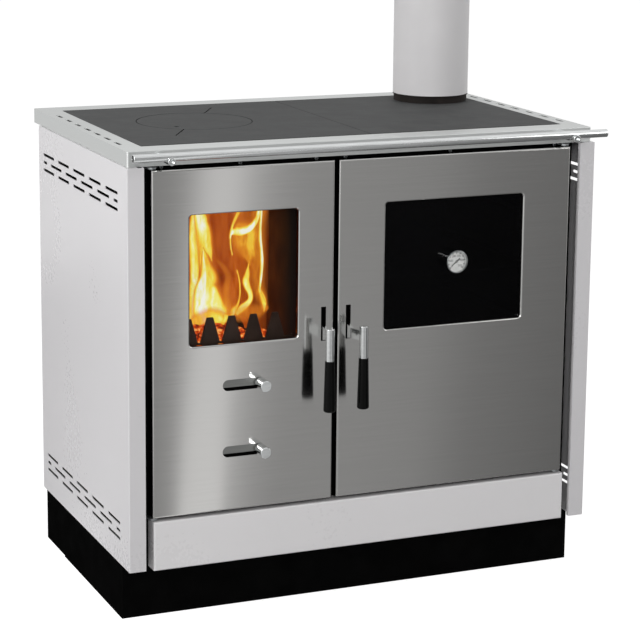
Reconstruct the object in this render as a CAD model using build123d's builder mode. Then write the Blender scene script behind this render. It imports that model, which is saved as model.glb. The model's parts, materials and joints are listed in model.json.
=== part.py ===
from build123d import *
import os

os.makedirs("parts", exist_ok=True)

# A wood-burning cookstove: firebox door and oven door side by side over a wide drawer, a steel cooking
# top with one lift-out disc, a flue pipe at the rear right and a towel rail along the front.
# Millimetres. x runs to the right, y to the back, z up from the floor. The origin is on the floor, at
# the middle of the whole stove, from the front of the handles to the back of the top frame.

# ---------------------------------------------------------------- driving dimensions
seat_gap = 0.3  # between pieces that rest on or beside each other
running_gap = 0.05  # radial, between a pin and its hole

# stainless top frame
case_width = 900.0
case_depth = 575.0
rim_height = 850.0  # top of the rim above the floor
skirt_height = 27.0
steel_sheet = 1.5
plate_edge_left = 42.0  # rim width at the left of the cooking plates
plate_edge_right = 36.0
plate_edge_front = 51.0
plate_edge_back = 52.0
rim_vents = 7
rim_vent_pitch = 58.8
rim_vent_length = 34.0
rim_vent_width = 6.0
rim_vent_inset = 15.0  # vent centre line in from the side of the frame

# front plane and handles
face_lead = 10.0  # door fronts ahead of the top frame's front
grip_stand_off = 50.5  # grip axis ahead of the door fronts
grip_end_radius = 10.8
grip_top_radius = 8.7
grip_length = 93.0
ferrule_radius = 8.0
ferrule_length = 58.0

# black plinth, feet and base
plinth_height = 100.0
plinth_inset = 56.0  # plinth front behind the door fronts
plinth_sheet = 2.0
plinth_seam = 357.0  # length of the front half, front to back
plinth_back_gap = 48.0  # plinth back ahead of the back of the top frame
base_thickness = 4.0
foot_radius = 22.0
foot_height = 8.0
foot_stem_radius = 6.0

# white side panels
side_sheet = 1.5
flange_width = 30.5
flange_return = 7.0  # lip along the front flange's inner edge, turned back
side_overhang = 3.5  # panel faces outside the sides of the top frame
side_back_gap = 45.0  # panel back edge ahead of the back of the top frame
vent_length = 71.0
vent_short = 24.0
vent_height = 5.5
vent_pitch = 96.5
vent_front = 52.5  # first vent behind the door fronts
vent_end = 20.0  # least plain sheet behind the last vent
vent_row_pitch = 14.5
upper_vents_drop = 65.5  # middle row under the skirt of the top frame
lower_vents_rise = 61.0  # middle row over the base

# doors
fire_door_gap = 13.2  # side flange to the hinged edge of the door
oven_door_gap = 20.7
door_bottom = 198.5
door_top_gap = 6.5  # under the skirt of the top frame
door_split = 8.5  # between the two doors
fire_door_width = 340.3
door_depth = 24.0
skin_return = 10.0
skin_bend = 3.0
frame_plate = 4.0
frame_rib = 4.0
door_frame_inset = 1.0
gasket_band = 12.0
gasket_margin = 2.0
gasket_width = 9.0
gasket_thickness = 3.7
hinge_inset = 5.0  # hinge axis in from the door's edge
hinge_depth = 15.0  # hinge axis behind the door fronts
hinge_pin_radius = 3.0
hinge_boss = 14.0
bracket_thickness = 3.0
bracket_radius = 9.0

# windows
window_drop = 81.3  # window under the top of the door
window_height = 232.9
window_corner = 6.0
fire_window_width = 203.0
fire_window_inset = 68.8  # from the door's hinged edge
oven_window_latch_inset = 91.0  # from the oven door's free edge
oven_window_hinge_inset = 95.3
glass_thickness = 4.0
glass_margin = 8.0
glass_slack = 0.8

# handle slots and levers
lever_slot_width = 9.5
lever_slot_height = 62.0
lever_slot_drop = 9.8  # slot's bottom under the window's
fire_lever_inset = 19.5  # slot's middle from the door's free edge
oven_lever_inset = 20.0
lever_pocket_below = 26.0  # frame pocket's bottom below the pivot
lever_opening_below = 30.0  # door frame opening's bottom below the pivot
lever_thickness = 6.0
lever_side_step = 8.5  # grip axis beside the slot
lever_pivot_depth = 20.0  # behind the door fronts
lever_pivot_rise = 15.5  # above the bottom of the slot
lever_pin_radius = 3.0
lever_tongue = 41.0  # tongue tip behind the door fronts
lever_half_height = 14.0

# air sliders
air_slot_length = 80.0
air_slot_height = 20.0
air_slot_inset = 169.8  # slot's middle from the door's hinged edge
upper_air_drop = 75.3  # slot's middle under the window
air_slot_pitch = 121.0  # between the two slots
shutter_thickness = 2.0
knob_radius = 10.0
knob_length = 31.0
knob_neck_radius = 4.0

# oven thermometer
thermometer_offset = 1.5  # to the right of the middle of the window
thermometer_rise = 116.7  # over the bottom of the window
thermometer_radius = 21.0
thermometer_depth = 20.0
thermometer_wall = 1.6
probe_radius = 4.0
probe_length = 60.0

# drawer
drawer_bottom = 102.0
drawer_top = 191.5
drawer_side_gap = 15.0  # to the side panels' front flanges
drawer_front_depth = 46.0
drawer_bend = 3.0
drawer_back_gap = 54.0  # drawer box to the body's back
drawer_box_height = 72.0
drawer_sheet = 1.2

# black inner body
body_side_gap = 30.0  # body's sides inside the sides of the top frame
body_sheet = 2.0
frame_sheet = 3.0
body_back_gap = 53.0
hearth_floor = 213.7  # top of the body's floor

# firebox
chamber_side_gap = 52.0  # chamber to the outside of the body
chamber_latch_gap = 60.5  # chamber to the fire door's free edge
chamber_back = 405.0  # behind the door fronts
brick = 25.0
fire_opening_drop = 24.3  # opening's bottom under the window
fire_opening_inset = 31.5  # opening's top under the top of the door
grate_drop = 23.0  # under the bottom of the opening
grate_thickness = 15.0
firebox_sheet = 3.0
guard_thickness = 5.0
guard_teeth = 5
guard_pitch = 41.0
guard_rise = 44.0  # valleys over the grate's underside
guard_tooth = 44.5
guard_tip_width = 11.0
ash_opening_drop = 38.0  # top of the opening under the bottom of the fire's
ash_pan_height = 70.0
grate_slot_ends = 30.0  # solid iron at the two ends of a row of slots

# oven
oven_latch_gap = 51.0  # oven to the oven door's free edge
oven_side_gap = 40.0  # oven to the outside of the body
oven_back_gap = 47.0  # smoke's way behind the oven
oven_drop = 59.5  # oven's ceiling under the top of the door
oven_height = 357.0
runner_rises = (70.0, 183.0, 280.0)  # three rack levels over the oven's floor
runner_reach = 12.0
runner_thickness = 3.0
rack_wire_radius = 3.0
rack_rods = 13

# cooking plates, disc and flue
plate_thickness = 10.0
plate_proud = 0.5
right_plate_width = 386.0
disc_inset = 190.0  # disc's middle from the left of the cooking plates
disc_y = 308.0  # behind the front of the top frame
disc_radius = 107.5
disc_slack = 0.6
disc_thickness = 6.0
disc_ledge = 10.0
expansion_slot_width = 3.0
expansion_slot_end = 185.0
flue_side_inset = 116.0  # pipe's middle from the side of the top frame
flue_back_inset = 130.0
pipe_radius = 75.0
pipe_wall = 1.5
pipe_length = 250.0
socket_depth = 50.0  # swaged end at the top, which takes the next pipe
socket_slack = 0.2
collar_height = 14.5  # under the pipe
collar_radius = 73.0
collar_wall = 6.0
collar_spigot = 45.0

# towel rail
rail_radius = 7.5
rail_overhang = 5.0  # beyond each side of the top frame
rail_stand_off = 47.3
rail_drop = 5.0  # axis under the top of the rim
rail_wall = 1.2
post_inset = 61.0  # from the side of the top frame
post_radius = 7.0
post_drop = 11.5
post_length = 58.0

# ---------------------------------------------------------------- positions worked out from them
front = (face_lead + grip_stand_off + grip_end_radius - case_depth) / 2
back = front + case_depth
face = front - face_lead
half_width = case_width / 2
skirt_bottom = rim_height - skirt_height
rim_under = rim_height - steel_sheet
plate_left = -half_width + plate_edge_left
plate_right = half_width - plate_edge_right
plate_front = front + plate_edge_front
plate_back = back - plate_edge_back
plate_top = rim_height + plate_proud
plate_bottom = plate_top - plate_thickness
ledge_top = plate_bottom - seat_gap
plate_seam_x = plate_right - right_plate_width
disc_x = plate_left + disc_inset
rail_length = case_width + 2 * rail_overhang
rail_axis_z = rim_height - rail_drop
post_axis_z = rim_height - post_drop
post_x = half_width - post_inset

panel_outer = half_width + side_overhang
flange_inner = panel_outer - flange_width
panel_back = back - side_back_gap
base_top = plinth_height + base_thickness
plinth_front_y = face + plinth_inset
plinth_back_y = back - plinth_back_gap
plinth_seam_y = plinth_front_y + plinth_seam
upper_vents_z = skirt_bottom - upper_vents_drop
lower_vents_z = base_top + lower_vents_rise
vent_run = panel_back - face - vent_front - vent_end - vent_length
vent_count = int(vent_run / vent_pitch) + 1

door_top = skirt_bottom - door_top_gap
door_left = -flange_inner + fire_door_gap
door_right = flange_inner - oven_door_gap
fire_door_right = door_left + fire_door_width
oven_door_left = fire_door_right + door_split
door_back = face + door_depth
skin_back = face + skin_return
frame_face = door_back + gasket_thickness + seat_gap
frame_back = frame_face + frame_sheet
window_top = door_top - window_drop
window_bottom = window_top - window_height
lever_slot_bottom = window_bottom - lever_slot_drop
upper_air_z = window_bottom - upper_air_drop
lower_air_z = upper_air_z - air_slot_pitch
thermometer_z = window_bottom + thermometer_rise
fire_window_x = door_left + fire_window_inset + fire_window_width / 2
oven_window_x = (oven_door_left + oven_window_latch_inset + door_right - oven_window_hinge_inset) / 2
fire_lever_x = fire_door_right - fire_lever_inset
oven_lever_x = oven_door_left + oven_lever_inset
air_slot_x = door_left + air_slot_inset
thermometer_x = oven_window_x + thermometer_offset
hinge_y = face + hinge_depth

drawer_frame_top = drawer_top + 1.0
drawer_half = flange_inner - drawer_side_gap
body_half = half_width - body_side_gap
body_back = back - body_back_gap
chamber_left = -body_half + chamber_side_gap
chamber_right = fire_door_right - chamber_latch_gap
oven_left = oven_door_left + oven_latch_gap
oven_right = body_half - oven_side_gap
oven_rear = body_back - 2 * body_sheet - oven_back_gap
oven_top = door_top - oven_drop
oven_bottom = oven_top - oven_height
fire_opening_bottom = window_bottom - fire_opening_drop
fire_opening_top = door_top - fire_opening_inset
grate_level = fire_opening_bottom - grate_drop
guard_valley = grate_level + guard_rise
guard_tip = guard_valley + guard_tooth
ash_opening_top = fire_opening_bottom - ash_opening_drop
ash_opening_bottom = hearth_floor + seat_gap + firebox_sheet
chamber_rear = face + chamber_back
lever_pivot_y = face + lever_pivot_depth
lever_pivot_z = lever_slot_bottom + lever_pivot_rise
tongue_top = lever_pivot_z + 4.5


# ---------------------------------------------------------------- helpers
def block(a, b, mode=Mode.ADD):
    """A box between two opposite corners, added to or cut from the part being built."""
    low = [min(p, q) for p, q in zip(a, b)]
    high = [max(p, q) for p, q in zip(a, b)]
    with Locations(tuple((p + q) / 2 for p, q in zip(low, high))):
        Box(*(q - p for p, q in zip(low, high)), mode=mode)


def across(y):
    """A sketch plane across the stove at depth y. Its x is x, its y is height, and it extrudes forward."""
    return Plane.XZ.offset(-y)


def rect(x0, x1, z0, z1, radius=0.0, mode=Mode.ADD):
    """A rectangle between two corners of the sketch being made, rounded if a radius is given."""
    with Locations(((x0 + x1) / 2, (z0 + z1) / 2)):
        if radius:
            RectangleRounded(x1 - x0, z1 - z0, radius, mode=mode)
        else:
            Rectangle(x1 - x0, z1 - z0, mode=mode)


# ---------------------------------------------------------------- plinth and base
with BuildPart() as plinth_front:
    with BuildSketch():
        rect(-half_width, half_width, plinth_front_y, plinth_seam_y)
        rect(-half_width + plinth_sheet, half_width - plinth_sheet,
             plinth_front_y + plinth_sheet, plinth_seam_y, mode=Mode.SUBTRACT)
    extrude(amount=plinth_height)
    fillet(plinth_front.edges().filter_by(Axis.Z).group_by(Axis.Y)[0], radius=plinth_sheet)
plinth_front.part.label = "plinth_front"
export_step(plinth_front.part, "parts/plinth_front.step")

plinth_lap = 25.0  # the rear half's wings run this far inside the front half's
with BuildPart() as plinth_rear:
    wing = half_width - plinth_sheet
    with BuildSketch():
        rect(-wing, wing, plinth_seam_y - plinth_lap, plinth_back_y)
        rect(-wing + plinth_sheet, wing - plinth_sheet,
             plinth_seam_y - plinth_lap, plinth_back_y - plinth_sheet, mode=Mode.SUBTRACT)
    extrude(amount=plinth_height)
plinth_rear.part.label = "plinth_rear"
export_step(plinth_rear.part, "parts/plinth_rear.step")

foot_inset = 60.0
with BuildPart() as levelling_feet:
    foot_x = half_width - foot_inset
    foot_front = plinth_front_y + foot_inset
    foot_back = plinth_back_y - foot_inset
    spots = [(x, y) for x in (-foot_x, foot_x) for y in (foot_front, foot_back)]
    with Locations(*((x, y, 0) for x, y in spots)):
        Cylinder(foot_radius, foot_height, align=(Align.CENTER, Align.CENTER, Align.MIN))
    fillet(levelling_feet.edges().filter_by(GeomType.CIRCLE).group_by(Axis.Z)[-1], radius=foot_height / 4)
    with Locations(*((x, y, foot_height) for x, y in spots)):
        stem_height = plinth_height - foot_height
        Cylinder(foot_stem_radius, stem_height, align=(Align.CENTER, Align.CENTER, Align.MIN))
levelling_feet.part.label = "levelling_feet"
export_step(levelling_feet.part, "parts/levelling_feet.step")

with BuildPart() as base_plate:
    block((-half_width, plinth_front_y, plinth_height), (half_width, plinth_back_y, base_top))
base_plate.part.label = "base_plate"
export_step(base_plate.part, "parts/base_plate.step")


# ---------------------------------------------------------------- side and back panels
def cut_vents(side, middle_z):
    """Three staggered rows of vent slots through one side panel."""
    first = face + vent_front
    with BuildSketch(Plane.YZ.offset(side * panel_outer)) as vents:
        for row in (-1, 1):
            for i in range(vent_count):
                with Locations((first + vent_length / 2 + i * vent_pitch, middle_z + row * vent_row_pitch)):
                    SlotOverall(vent_length, vent_height)
        for i in range(vent_count - 1):
            with Locations((first + vent_length / 2 + (i + 0.5) * vent_pitch, middle_z)):
                SlotOverall(vent_length, vent_height)
        last = first + (vent_count - 1) * vent_pitch + vent_length
        for y in (first + vent_short / 2, last - vent_short / 2):
            with Locations((y, middle_z)):
                SlotOverall(vent_short, vent_height)
    extrude(vents.sketch, amount=2 * side_sheet, both=True, mode=Mode.SUBTRACT)


side_flange = 20.0  # top, bottom and rear flanges
for side, side_name in ((-1, "left"), (1, "right")):
    with BuildPart() as side_panel:
        bottom = base_top + seat_gap
        top = skirt_bottom - seat_gap
        block((side * panel_outer, face, bottom), (side * flange_inner, panel_back, top))
        outer_bend = side_panel.edges().filter_by(Axis.Z).group_by(Axis.Y)[0].sort_by(Axis.X)
        fillet(outer_bend[0 if side < 0 else -1], radius=side_sheet + 0.5)
        inner_x = side * (panel_outer - side_sheet)
        block((inner_x, face + side_sheet, bottom + side_sheet),
              (0, panel_back - side_sheet, top - side_sheet), mode=Mode.SUBTRACT)
        flange_x = side * (panel_outer - side_flange)
        block((flange_x, face + side_sheet, bottom), (0, panel_back, top), mode=Mode.SUBTRACT)
        block((side * flange_inner, face, bottom),
              (side * (flange_inner + side_sheet), face + side_sheet + flange_return, top))
        cut_vents(side, upper_vents_z)
        cut_vents(side, lower_vents_z)
    side_panel.part.label = f"side_panel_{side_name}"
    export_step(side_panel.part, f"parts/side_panel_{side_name}.step")

back_vent_rows = 3
back_vent_columns = 7
with BuildPart() as back_panel:
    panel_y = panel_back - side_sheet - seat_gap
    with BuildSketch(across(panel_y)):
        panel_lap = side_sheet + 2 * seat_gap  # inside the side panels' top and bottom flanges
        panel_half = half_width - side_sheet
        rect(-panel_half, panel_half, base_top + panel_lap, skirt_bottom - panel_lap)
        for middle_z in (upper_vents_z, lower_vents_z):
            with Locations((0, middle_z)):
                with GridLocations(vent_pitch, vent_row_pitch, back_vent_columns, back_vent_rows):
                    SlotOverall(vent_length, vent_height, mode=Mode.SUBTRACT)
    extrude(amount=side_sheet)
back_panel.part.label = "back_panel"
export_step(back_panel.part, "parts/back_panel.step")

# ---------------------------------------------------------------- face frame and body
lever_pocket_width = 12.0
lever_pocket_bottom = lever_pivot_z - lever_pocket_below
lever_pocket_top = tongue_top + 5.5
with BuildPart() as face_frame:
    with BuildSketch(across(frame_back)):
        rect(-body_half, body_half, base_top + seat_gap, rim_under - seat_gap)
        rect(-drawer_half - 2, drawer_half + 2, base_top - 1, drawer_frame_top, mode=Mode.SUBTRACT)
        rect(chamber_left, chamber_right, ash_opening_bottom, ash_opening_top, mode=Mode.SUBTRACT)
        rect(chamber_left, chamber_right, fire_opening_bottom, fire_opening_top, mode=Mode.SUBTRACT)
        rect(oven_left, oven_right, oven_bottom, oven_top, mode=Mode.SUBTRACT)
        for x in (fire_lever_x, oven_lever_x):
            rect(x - lever_pocket_width / 2, x + lever_pocket_width / 2,
                 lever_pocket_bottom, lever_pocket_top, mode=Mode.SUBTRACT)
    extrude(amount=frame_sheet)
face_frame.part.label = "face_frame"
export_step(face_frame.part, "parts/face_frame.step")

body_back_top = ledge_top - 2.5 - seat_gap
with BuildPart() as body_shell:
    block((-body_half, frame_back, base_top + seat_gap), (body_half, body_back, rim_under - seat_gap))
    block((-body_half + body_sheet, frame_back, base_top),
          (body_half - body_sheet, body_back - body_sheet, hearth_floor - body_sheet), mode=Mode.SUBTRACT)
    block((-body_half + body_sheet, frame_back, hearth_floor),
          (body_half - body_sheet, body_back - body_sheet, rim_height), mode=Mode.SUBTRACT)
    block((-body_half + body_sheet, body_back - body_sheet, body_back_top),
          (body_half - body_sheet, body_back, rim_height), mode=Mode.SUBTRACT)
body_shell.part.label = "body_shell"
export_step(body_shell.part, "parts/body_shell.step")

screw_radius = 3.5
screw_height = 2.0
screw_drop = 5.5  # screws' middle under the skirt of the top frame
screw_z = skirt_bottom - screw_drop
screw_end_inset = 37.0
screw_spots = (-body_half + screw_end_inset, fire_window_x + 1.5, fire_lever_x - 5.0,
               oven_lever_x + 3.0, oven_window_x + 0.5, body_half - screw_end_inset)
with BuildPart() as face_screws:
    with BuildSketch(across(frame_face)):
        with Locations(*((x, screw_z) for x in screw_spots)):
            Circle(screw_radius)
    extrude(amount=screw_height)
    heads = face_screws.edges().filter_by(GeomType.CIRCLE).group_by(Axis.Y)[0]
    fillet(heads, radius=screw_height * 0.6)
face_screws.part.label = "face_screws"
export_step(face_screws.part, "parts/face_screws.step")

# ---------------------------------------------------------------- stainless top frame
ledge_reach = 12.0
opening_slack = 0.6
with BuildPart() as top_frame:
    block((-half_width, front, skirt_bottom), (half_width, back, rim_height))
    fillet(top_frame.edges().filter_by(Axis.Z), radius=3.0)
    fillet(top_frame.faces().sort_by(Axis.Z)[-1].edges(), radius=1.2)
    block((-half_width + steel_sheet, front + steel_sheet, skirt_bottom),
          (half_width - steel_sheet, back - steel_sheet, rim_under), mode=Mode.SUBTRACT)
    hole_x0 = plate_left - opening_slack
    hole_x1 = plate_right + opening_slack
    hole_y0 = plate_front - opening_slack
    hole_y1 = plate_back + opening_slack
    ledge_bottom = ledge_top - 2.5
    block((hole_x0 - steel_sheet, hole_y0 - steel_sheet, ledge_bottom),
          (hole_x1 + steel_sheet, hole_y1 + steel_sheet, rim_under))
    block((hole_x0, hole_y0, ledge_top), (hole_x1, hole_y1, rim_height), mode=Mode.SUBTRACT)
    block((hole_x0 + ledge_reach, hole_y0 + ledge_reach, ledge_bottom),
          (hole_x1 - ledge_reach, hole_y1 - ledge_reach, rim_height), mode=Mode.SUBTRACT)
    vent_y = (front + back) / 2 - 14.0
    for x in (-half_width + rim_vent_inset, half_width - rim_vent_inset):
        with BuildSketch(Plane.XY.offset(rim_height)):
            with Locations((x, vent_y)):
                with GridLocations(0, rim_vent_pitch, 1, rim_vents):
                    SlotOverall(rim_vent_length, rim_vent_width, rotation=90)
        extrude(amount=-2 * steel_sheet, mode=Mode.SUBTRACT)
top_frame.part.label = "top_frame"
export_step(top_frame.part, "parts/top_frame.step")

# ---------------------------------------------------------------- cooking plates and disc
plate_joint = 0.6
plate_bend = 1.2
disc_centre = (disc_x, front + disc_y)
disc_floor = plate_top - disc_thickness - seat_gap
with BuildPart() as cook_plate_left:
    block((plate_left, plate_front, plate_bottom), (plate_seam_x - plate_joint / 2, plate_back, plate_top))
    fillet(cook_plate_left.faces().sort_by(Axis.Z)[-1].edges(), radius=plate_bend)
    with BuildSketch(Plane.XY.offset(plate_bottom)):
        with Locations(disc_centre):
            Circle(disc_radius - disc_ledge)
            with PolarLocations((disc_radius + expansion_slot_end) / 2, 2, start_angle=60):
                Rectangle(expansion_slot_end - disc_radius, expansion_slot_width)
    extrude(amount=plate_thickness, mode=Mode.SUBTRACT)
    with BuildSketch(Plane.XY.offset(disc_floor)):
        with Locations(disc_centre):
            Circle(disc_radius + disc_slack)
    extrude(amount=plate_thickness, mode=Mode.SUBTRACT)
cook_plate_left.part.label = "cook_plate_left"
export_step(cook_plate_left.part, "parts/cook_plate_left.step")

flue_centre = (half_width - flue_side_inset, back - flue_back_inset)
flue_hole_radius = collar_radius - 3.0
with BuildPart() as cook_plate_right:
    block((plate_seam_x + plate_joint / 2, plate_front, plate_bottom), (plate_right, plate_back, plate_top))
    fillet(cook_plate_right.faces().sort_by(Axis.Z)[-1].edges(), radius=plate_bend)
    with BuildSketch(Plane.XY.offset(plate_bottom)):
        with Locations(flue_centre):
            Circle(flue_hole_radius)
    extrude(amount=plate_thickness, mode=Mode.SUBTRACT)
cook_plate_right.part.label = "cook_plate_right"
export_step(cook_plate_right.part, "parts/cook_plate_right.step")

lifter_radius = 5.5
lifter_depth = 4.0
lifter_offset = (-54.0, -55.0)  # from the disc's centre
with BuildPart() as hob_disc:
    with BuildSketch(Plane.XY.offset(plate_top - disc_thickness)):
        with Locations(disc_centre):
            Circle(disc_radius)
    extrude(amount=disc_thickness)
    fillet(hob_disc.edges().group_by(Axis.Z)[-1], radius=0.8)
    with BuildSketch(Plane.XY.offset(plate_top)):
        with Locations((disc_centre[0] + lifter_offset[0], disc_centre[1] + lifter_offset[1])):
            Circle(lifter_radius)
    extrude(amount=-lifter_depth, mode=Mode.SUBTRACT)
hob_disc.part.label = "hob_disc"
export_step(hob_disc.part, "parts/hob_disc.step")

# ---------------------------------------------------------------- flue
collar_seat = plate_top + seat_gap
pipe_seat = collar_seat + collar_height
pipe_bore = pipe_radius - pipe_wall
bead_height = 2.0
collar_bore = collar_radius - collar_wall
with BuildPart() as flue_collar:
    with BuildSketch(Plane.XZ):
        with BuildLine():
            Polyline(
                (collar_bore, plate_bottom), (flue_hole_radius - 0.6, plate_bottom),
                (flue_hole_radius - 0.6, collar_seat), (collar_radius, collar_seat),
                (collar_radius, pipe_seat - bead_height), (pipe_radius, pipe_seat - bead_height),
                (pipe_radius, pipe_seat), (pipe_bore - 0.6, pipe_seat),
                (pipe_bore - 0.6, pipe_seat + collar_spigot), (collar_bore, pipe_seat + collar_spigot),
                close=True)
        make_face()
    revolve(axis=Axis.Z)
flue_collar.part = flue_collar.part.moved(Location((flue_centre[0], flue_centre[1], 0)))
flue_collar.part.label = "flue_collar"
export_step(flue_collar.part, "parts/flue_collar.step")

with BuildPart() as flue_pipe:
    pipe_low = pipe_seat + seat_gap
    pipe_high = pipe_low + pipe_length
    socket_low = pipe_high - socket_depth
    socket_bore = pipe_radius + socket_slack
    swage = 4.0  # height of the cone between pipe and socket
    with BuildSketch(Plane.XZ):
        with BuildLine():
            Polyline(
                (pipe_bore, pipe_low), (pipe_radius, pipe_low), (pipe_radius, socket_low - swage),
                (socket_bore + pipe_wall, socket_low), (socket_bore + pipe_wall, pipe_high),
                (socket_bore, pipe_high), (socket_bore, socket_low), (pipe_bore, socket_low - swage),
                close=True)
        make_face()
    revolve(axis=Axis.Z)
flue_pipe.part = flue_pipe.part.moved(Location((flue_centre[0], flue_centre[1], 0)))
flue_pipe.part.label = "flue_pipe"
export_step(flue_pipe.part, "parts/flue_pipe.step")

# ---------------------------------------------------------------- towel rail
rail_y = front - rail_stand_off
rail_bore = rail_radius - rail_wall
with BuildPart() as towel_rail:
    with BuildSketch(Plane.YZ.offset(-rail_length / 2)):
        with Locations((rail_y, rail_axis_z)):
            Circle(rail_radius)
            Circle(rail_bore, mode=Mode.SUBTRACT)
    extrude(amount=rail_length)
    fillet(towel_rail.edges().filter_by(GeomType.CIRCLE).filter_by(
        lambda e: abs(e.radius - rail_radius) < 0.01), radius=rail_wall * 0.6)
towel_rail.part.label = "towel_rail"
export_step(towel_rail.part, "parts/towel_rail.step")

plug_length = 12.0
with BuildPart() as rail_end_plugs:
    for side in (-1, 1):
        with BuildSketch(Plane.YZ.offset(side * (rail_length / 2 - plug_length))):
            with Locations((rail_y, rail_axis_z)):
                Circle(rail_bore)
        extrude(amount=side * (plug_length - 0.5))
rail_end_plugs.part.label = "rail_end_plugs"
export_step(rail_end_plugs.part, "parts/rail_end_plugs.step")

post_recess_radius = 4.3
post_recess_depth = 5.0
with BuildPart() as rail_posts:
    for x in (-post_x, post_x):
        with BuildSketch(across(front)):
            with Locations((x, post_axis_z)):
                Circle(post_radius)
        extrude(amount=post_length)
    fillet(rail_posts.edges().filter_by(GeomType.CIRCLE).group_by(Axis.Y)[0], radius=1.0)
    for x in (-post_x, post_x):
        with BuildSketch(across(front - post_length)):
            with Locations((x, post_axis_z)):
                Circle(post_recess_radius)
        extrude(amount=-post_recess_depth, mode=Mode.SUBTRACT)
    with BuildSketch(Plane.YZ):
        with Locations((rail_y, rail_axis_z)):
            Circle(rail_radius)
    extrude(amount=half_width, both=True, mode=Mode.SUBTRACT)
rail_posts.part.label = "rail_posts"
export_step(rail_posts.part, "parts/rail_posts.step")

# ---------------------------------------------------------------- firebox
shell_left = chamber_left - brick - seat_gap - firebox_sheet
shell_right = chamber_right + brick + seat_gap + firebox_sheet
shell_back = chamber_rear + brick + seat_gap + firebox_sheet
shell_floor = hearth_floor + seat_gap
shell_top = ledge_top - 6.0
smoke_gap = 70.0  # height of the smoke's way out over the oven
smoke_gap_front = 60.0
shelf_reach = 16.0
with BuildPart() as firebox_shell:
    inner_left = shell_left + firebox_sheet
    inner_right = shell_right - firebox_sheet
    inner_back = shell_back - firebox_sheet
    block((shell_left, frame_back, shell_floor), (shell_right, shell_back, shell_top))
    block((inner_left, frame_back, shell_floor + firebox_sheet),
          (inner_right, inner_back, grate_level - firebox_sheet), mode=Mode.SUBTRACT)
    block((inner_left, frame_back, grate_level), (inner_right, inner_back, shell_top), mode=Mode.SUBTRACT)
    block((chamber_left + shelf_reach, frame_back + shelf_reach, shell_floor + firebox_sheet),
          (chamber_right - shelf_reach, chamber_rear - shelf_reach, grate_level), mode=Mode.SUBTRACT)
    block((inner_right, frame_back + smoke_gap_front, shell_top - smoke_gap),
          (shell_right, inner_back, shell_top), mode=Mode.SUBTRACT)
firebox_shell.part.label = "firebox_shell"
export_step(firebox_shell.part, "parts/firebox_shell.step")

brick_top = fire_opening_top - 25.0
brick_joint = 0.5
with BuildPart() as firebricks:
    low = grate_level + seat_gap
    middle = (frame_back + chamber_rear) / 2
    for x0, x1 in ((chamber_left - brick, chamber_left), (chamber_right, chamber_right + brick)):
        block((x0, frame_back + seat_gap, low), (x1, middle - brick_joint, brick_top))
        block((x0, middle + brick_joint, low), (x1, chamber_rear + brick, brick_top))
    block((chamber_left + brick_joint, chamber_rear, low),
          (chamber_right - brick_joint, chamber_rear + brick, brick_top))
    fillet(firebricks.edges().group_by(Axis.Z)[-1], radius=2.0)
firebricks.part.label = "firebricks"
export_step(firebricks.part, "parts/firebricks.step")

grate_slack = 2.0
grate_bars = 9
grate_slot_width = 11.0
with BuildPart() as fire_grate:
    x0 = chamber_left + grate_slack
    x1 = chamber_right - grate_slack
    y0 = frame_back + grate_slack
    y1 = chamber_rear - grate_slack
    block((x0, y0, grate_level + seat_gap), (x1, y1, grate_level + grate_thickness))
    slot_length = (y1 - y0) / 2 - grate_slot_ends
    for slot_y in ((3 * y0 + y1) / 4, (y0 + 3 * y1) / 4):
        with BuildSketch(Plane.XY.offset(grate_level)):
            with Locations(((x0 + x1) / 2, slot_y)):
                with GridLocations((x1 - x0) / (grate_bars + 1), 0, grate_bars, 1):
                    SlotOverall(slot_length, grate_slot_width, rotation=90)
        extrude(amount=2 * grate_thickness, mode=Mode.SUBTRACT)
fire_grate.part.label = "fire_grate"
export_step(fire_grate.part, "parts/fire_grate.step")

with BuildPart() as log_guard:
    guard_x = (chamber_left + chamber_right) / 2 - 1.0
    guard_half = guard_teeth * guard_pitch / 2
    shoulder = chamber_right - guard_x - grate_slack - 2.0
    guard_y = frame_back + grate_slack
    base_half = guard_pitch / 2 - 2.5
    guard_low = grate_level + grate_thickness + seat_gap
    outline = [(guard_x - shoulder, guard_low), (guard_x - shoulder, guard_valley)]
    for i in range(guard_teeth):
        middle = guard_x - guard_half + (i + 0.5) * guard_pitch
        outline.append((middle - base_half, guard_valley))
        outline.append((middle - guard_tip_width / 2, guard_tip))
        outline.append((middle + guard_tip_width / 2, guard_tip))
        outline.append((middle + base_half, guard_valley))
    outline.append((guard_x + shoulder, guard_valley))
    outline.append((guard_x + shoulder, guard_low))
    with BuildSketch(across(guard_y + guard_thickness)):
        with BuildLine():
            Polyline(*outline, close=True)
        make_face()
    extrude(amount=guard_thickness)
log_guard.part.label = "log_guard"
export_step(log_guard.part, "parts/log_guard.step")

ash_pan_gap = 6.0
ash_sheet = 1.5
pan_handle_width = 80.0
pan_handle_bar = 8.0
with BuildPart() as ash_pan:
    pan_x0 = chamber_left + ash_pan_gap
    pan_x1 = chamber_right - ash_pan_gap
    pan_y0 = frame_back + ash_pan_gap
    pan_y1 = chamber_rear - ash_pan_gap
    pan_z0 = shell_floor + firebox_sheet + seat_gap
    pan_z1 = pan_z0 + ash_pan_height
    block((pan_x0, pan_y0, pan_z0), (pan_x1, pan_y1, pan_z1))
    fillet(ash_pan.edges().filter_by(Axis.Z), radius=8.0)
    fillet(ash_pan.faces().sort_by(Axis.Z)[0].edges(), radius=3.0)
    offset(ash_pan.part, amount=-ash_sheet, openings=ash_pan.faces().sort_by(Axis.Z)[-1])
    pan_x = (pan_x0 + pan_x1) / 2
    pan_mid = (pan_z0 + pan_z1) / 2
    with BuildSketch(across(pan_y0)):
        rect(pan_x - pan_handle_width / 2, pan_x + pan_handle_width / 2, pan_mid - pan_handle_bar / 2,
             pan_mid + pan_handle_bar / 2, radius=2.0)
    extrude(amount=ash_pan_gap + 2)
ash_pan.part.label = "ash_pan"
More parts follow.
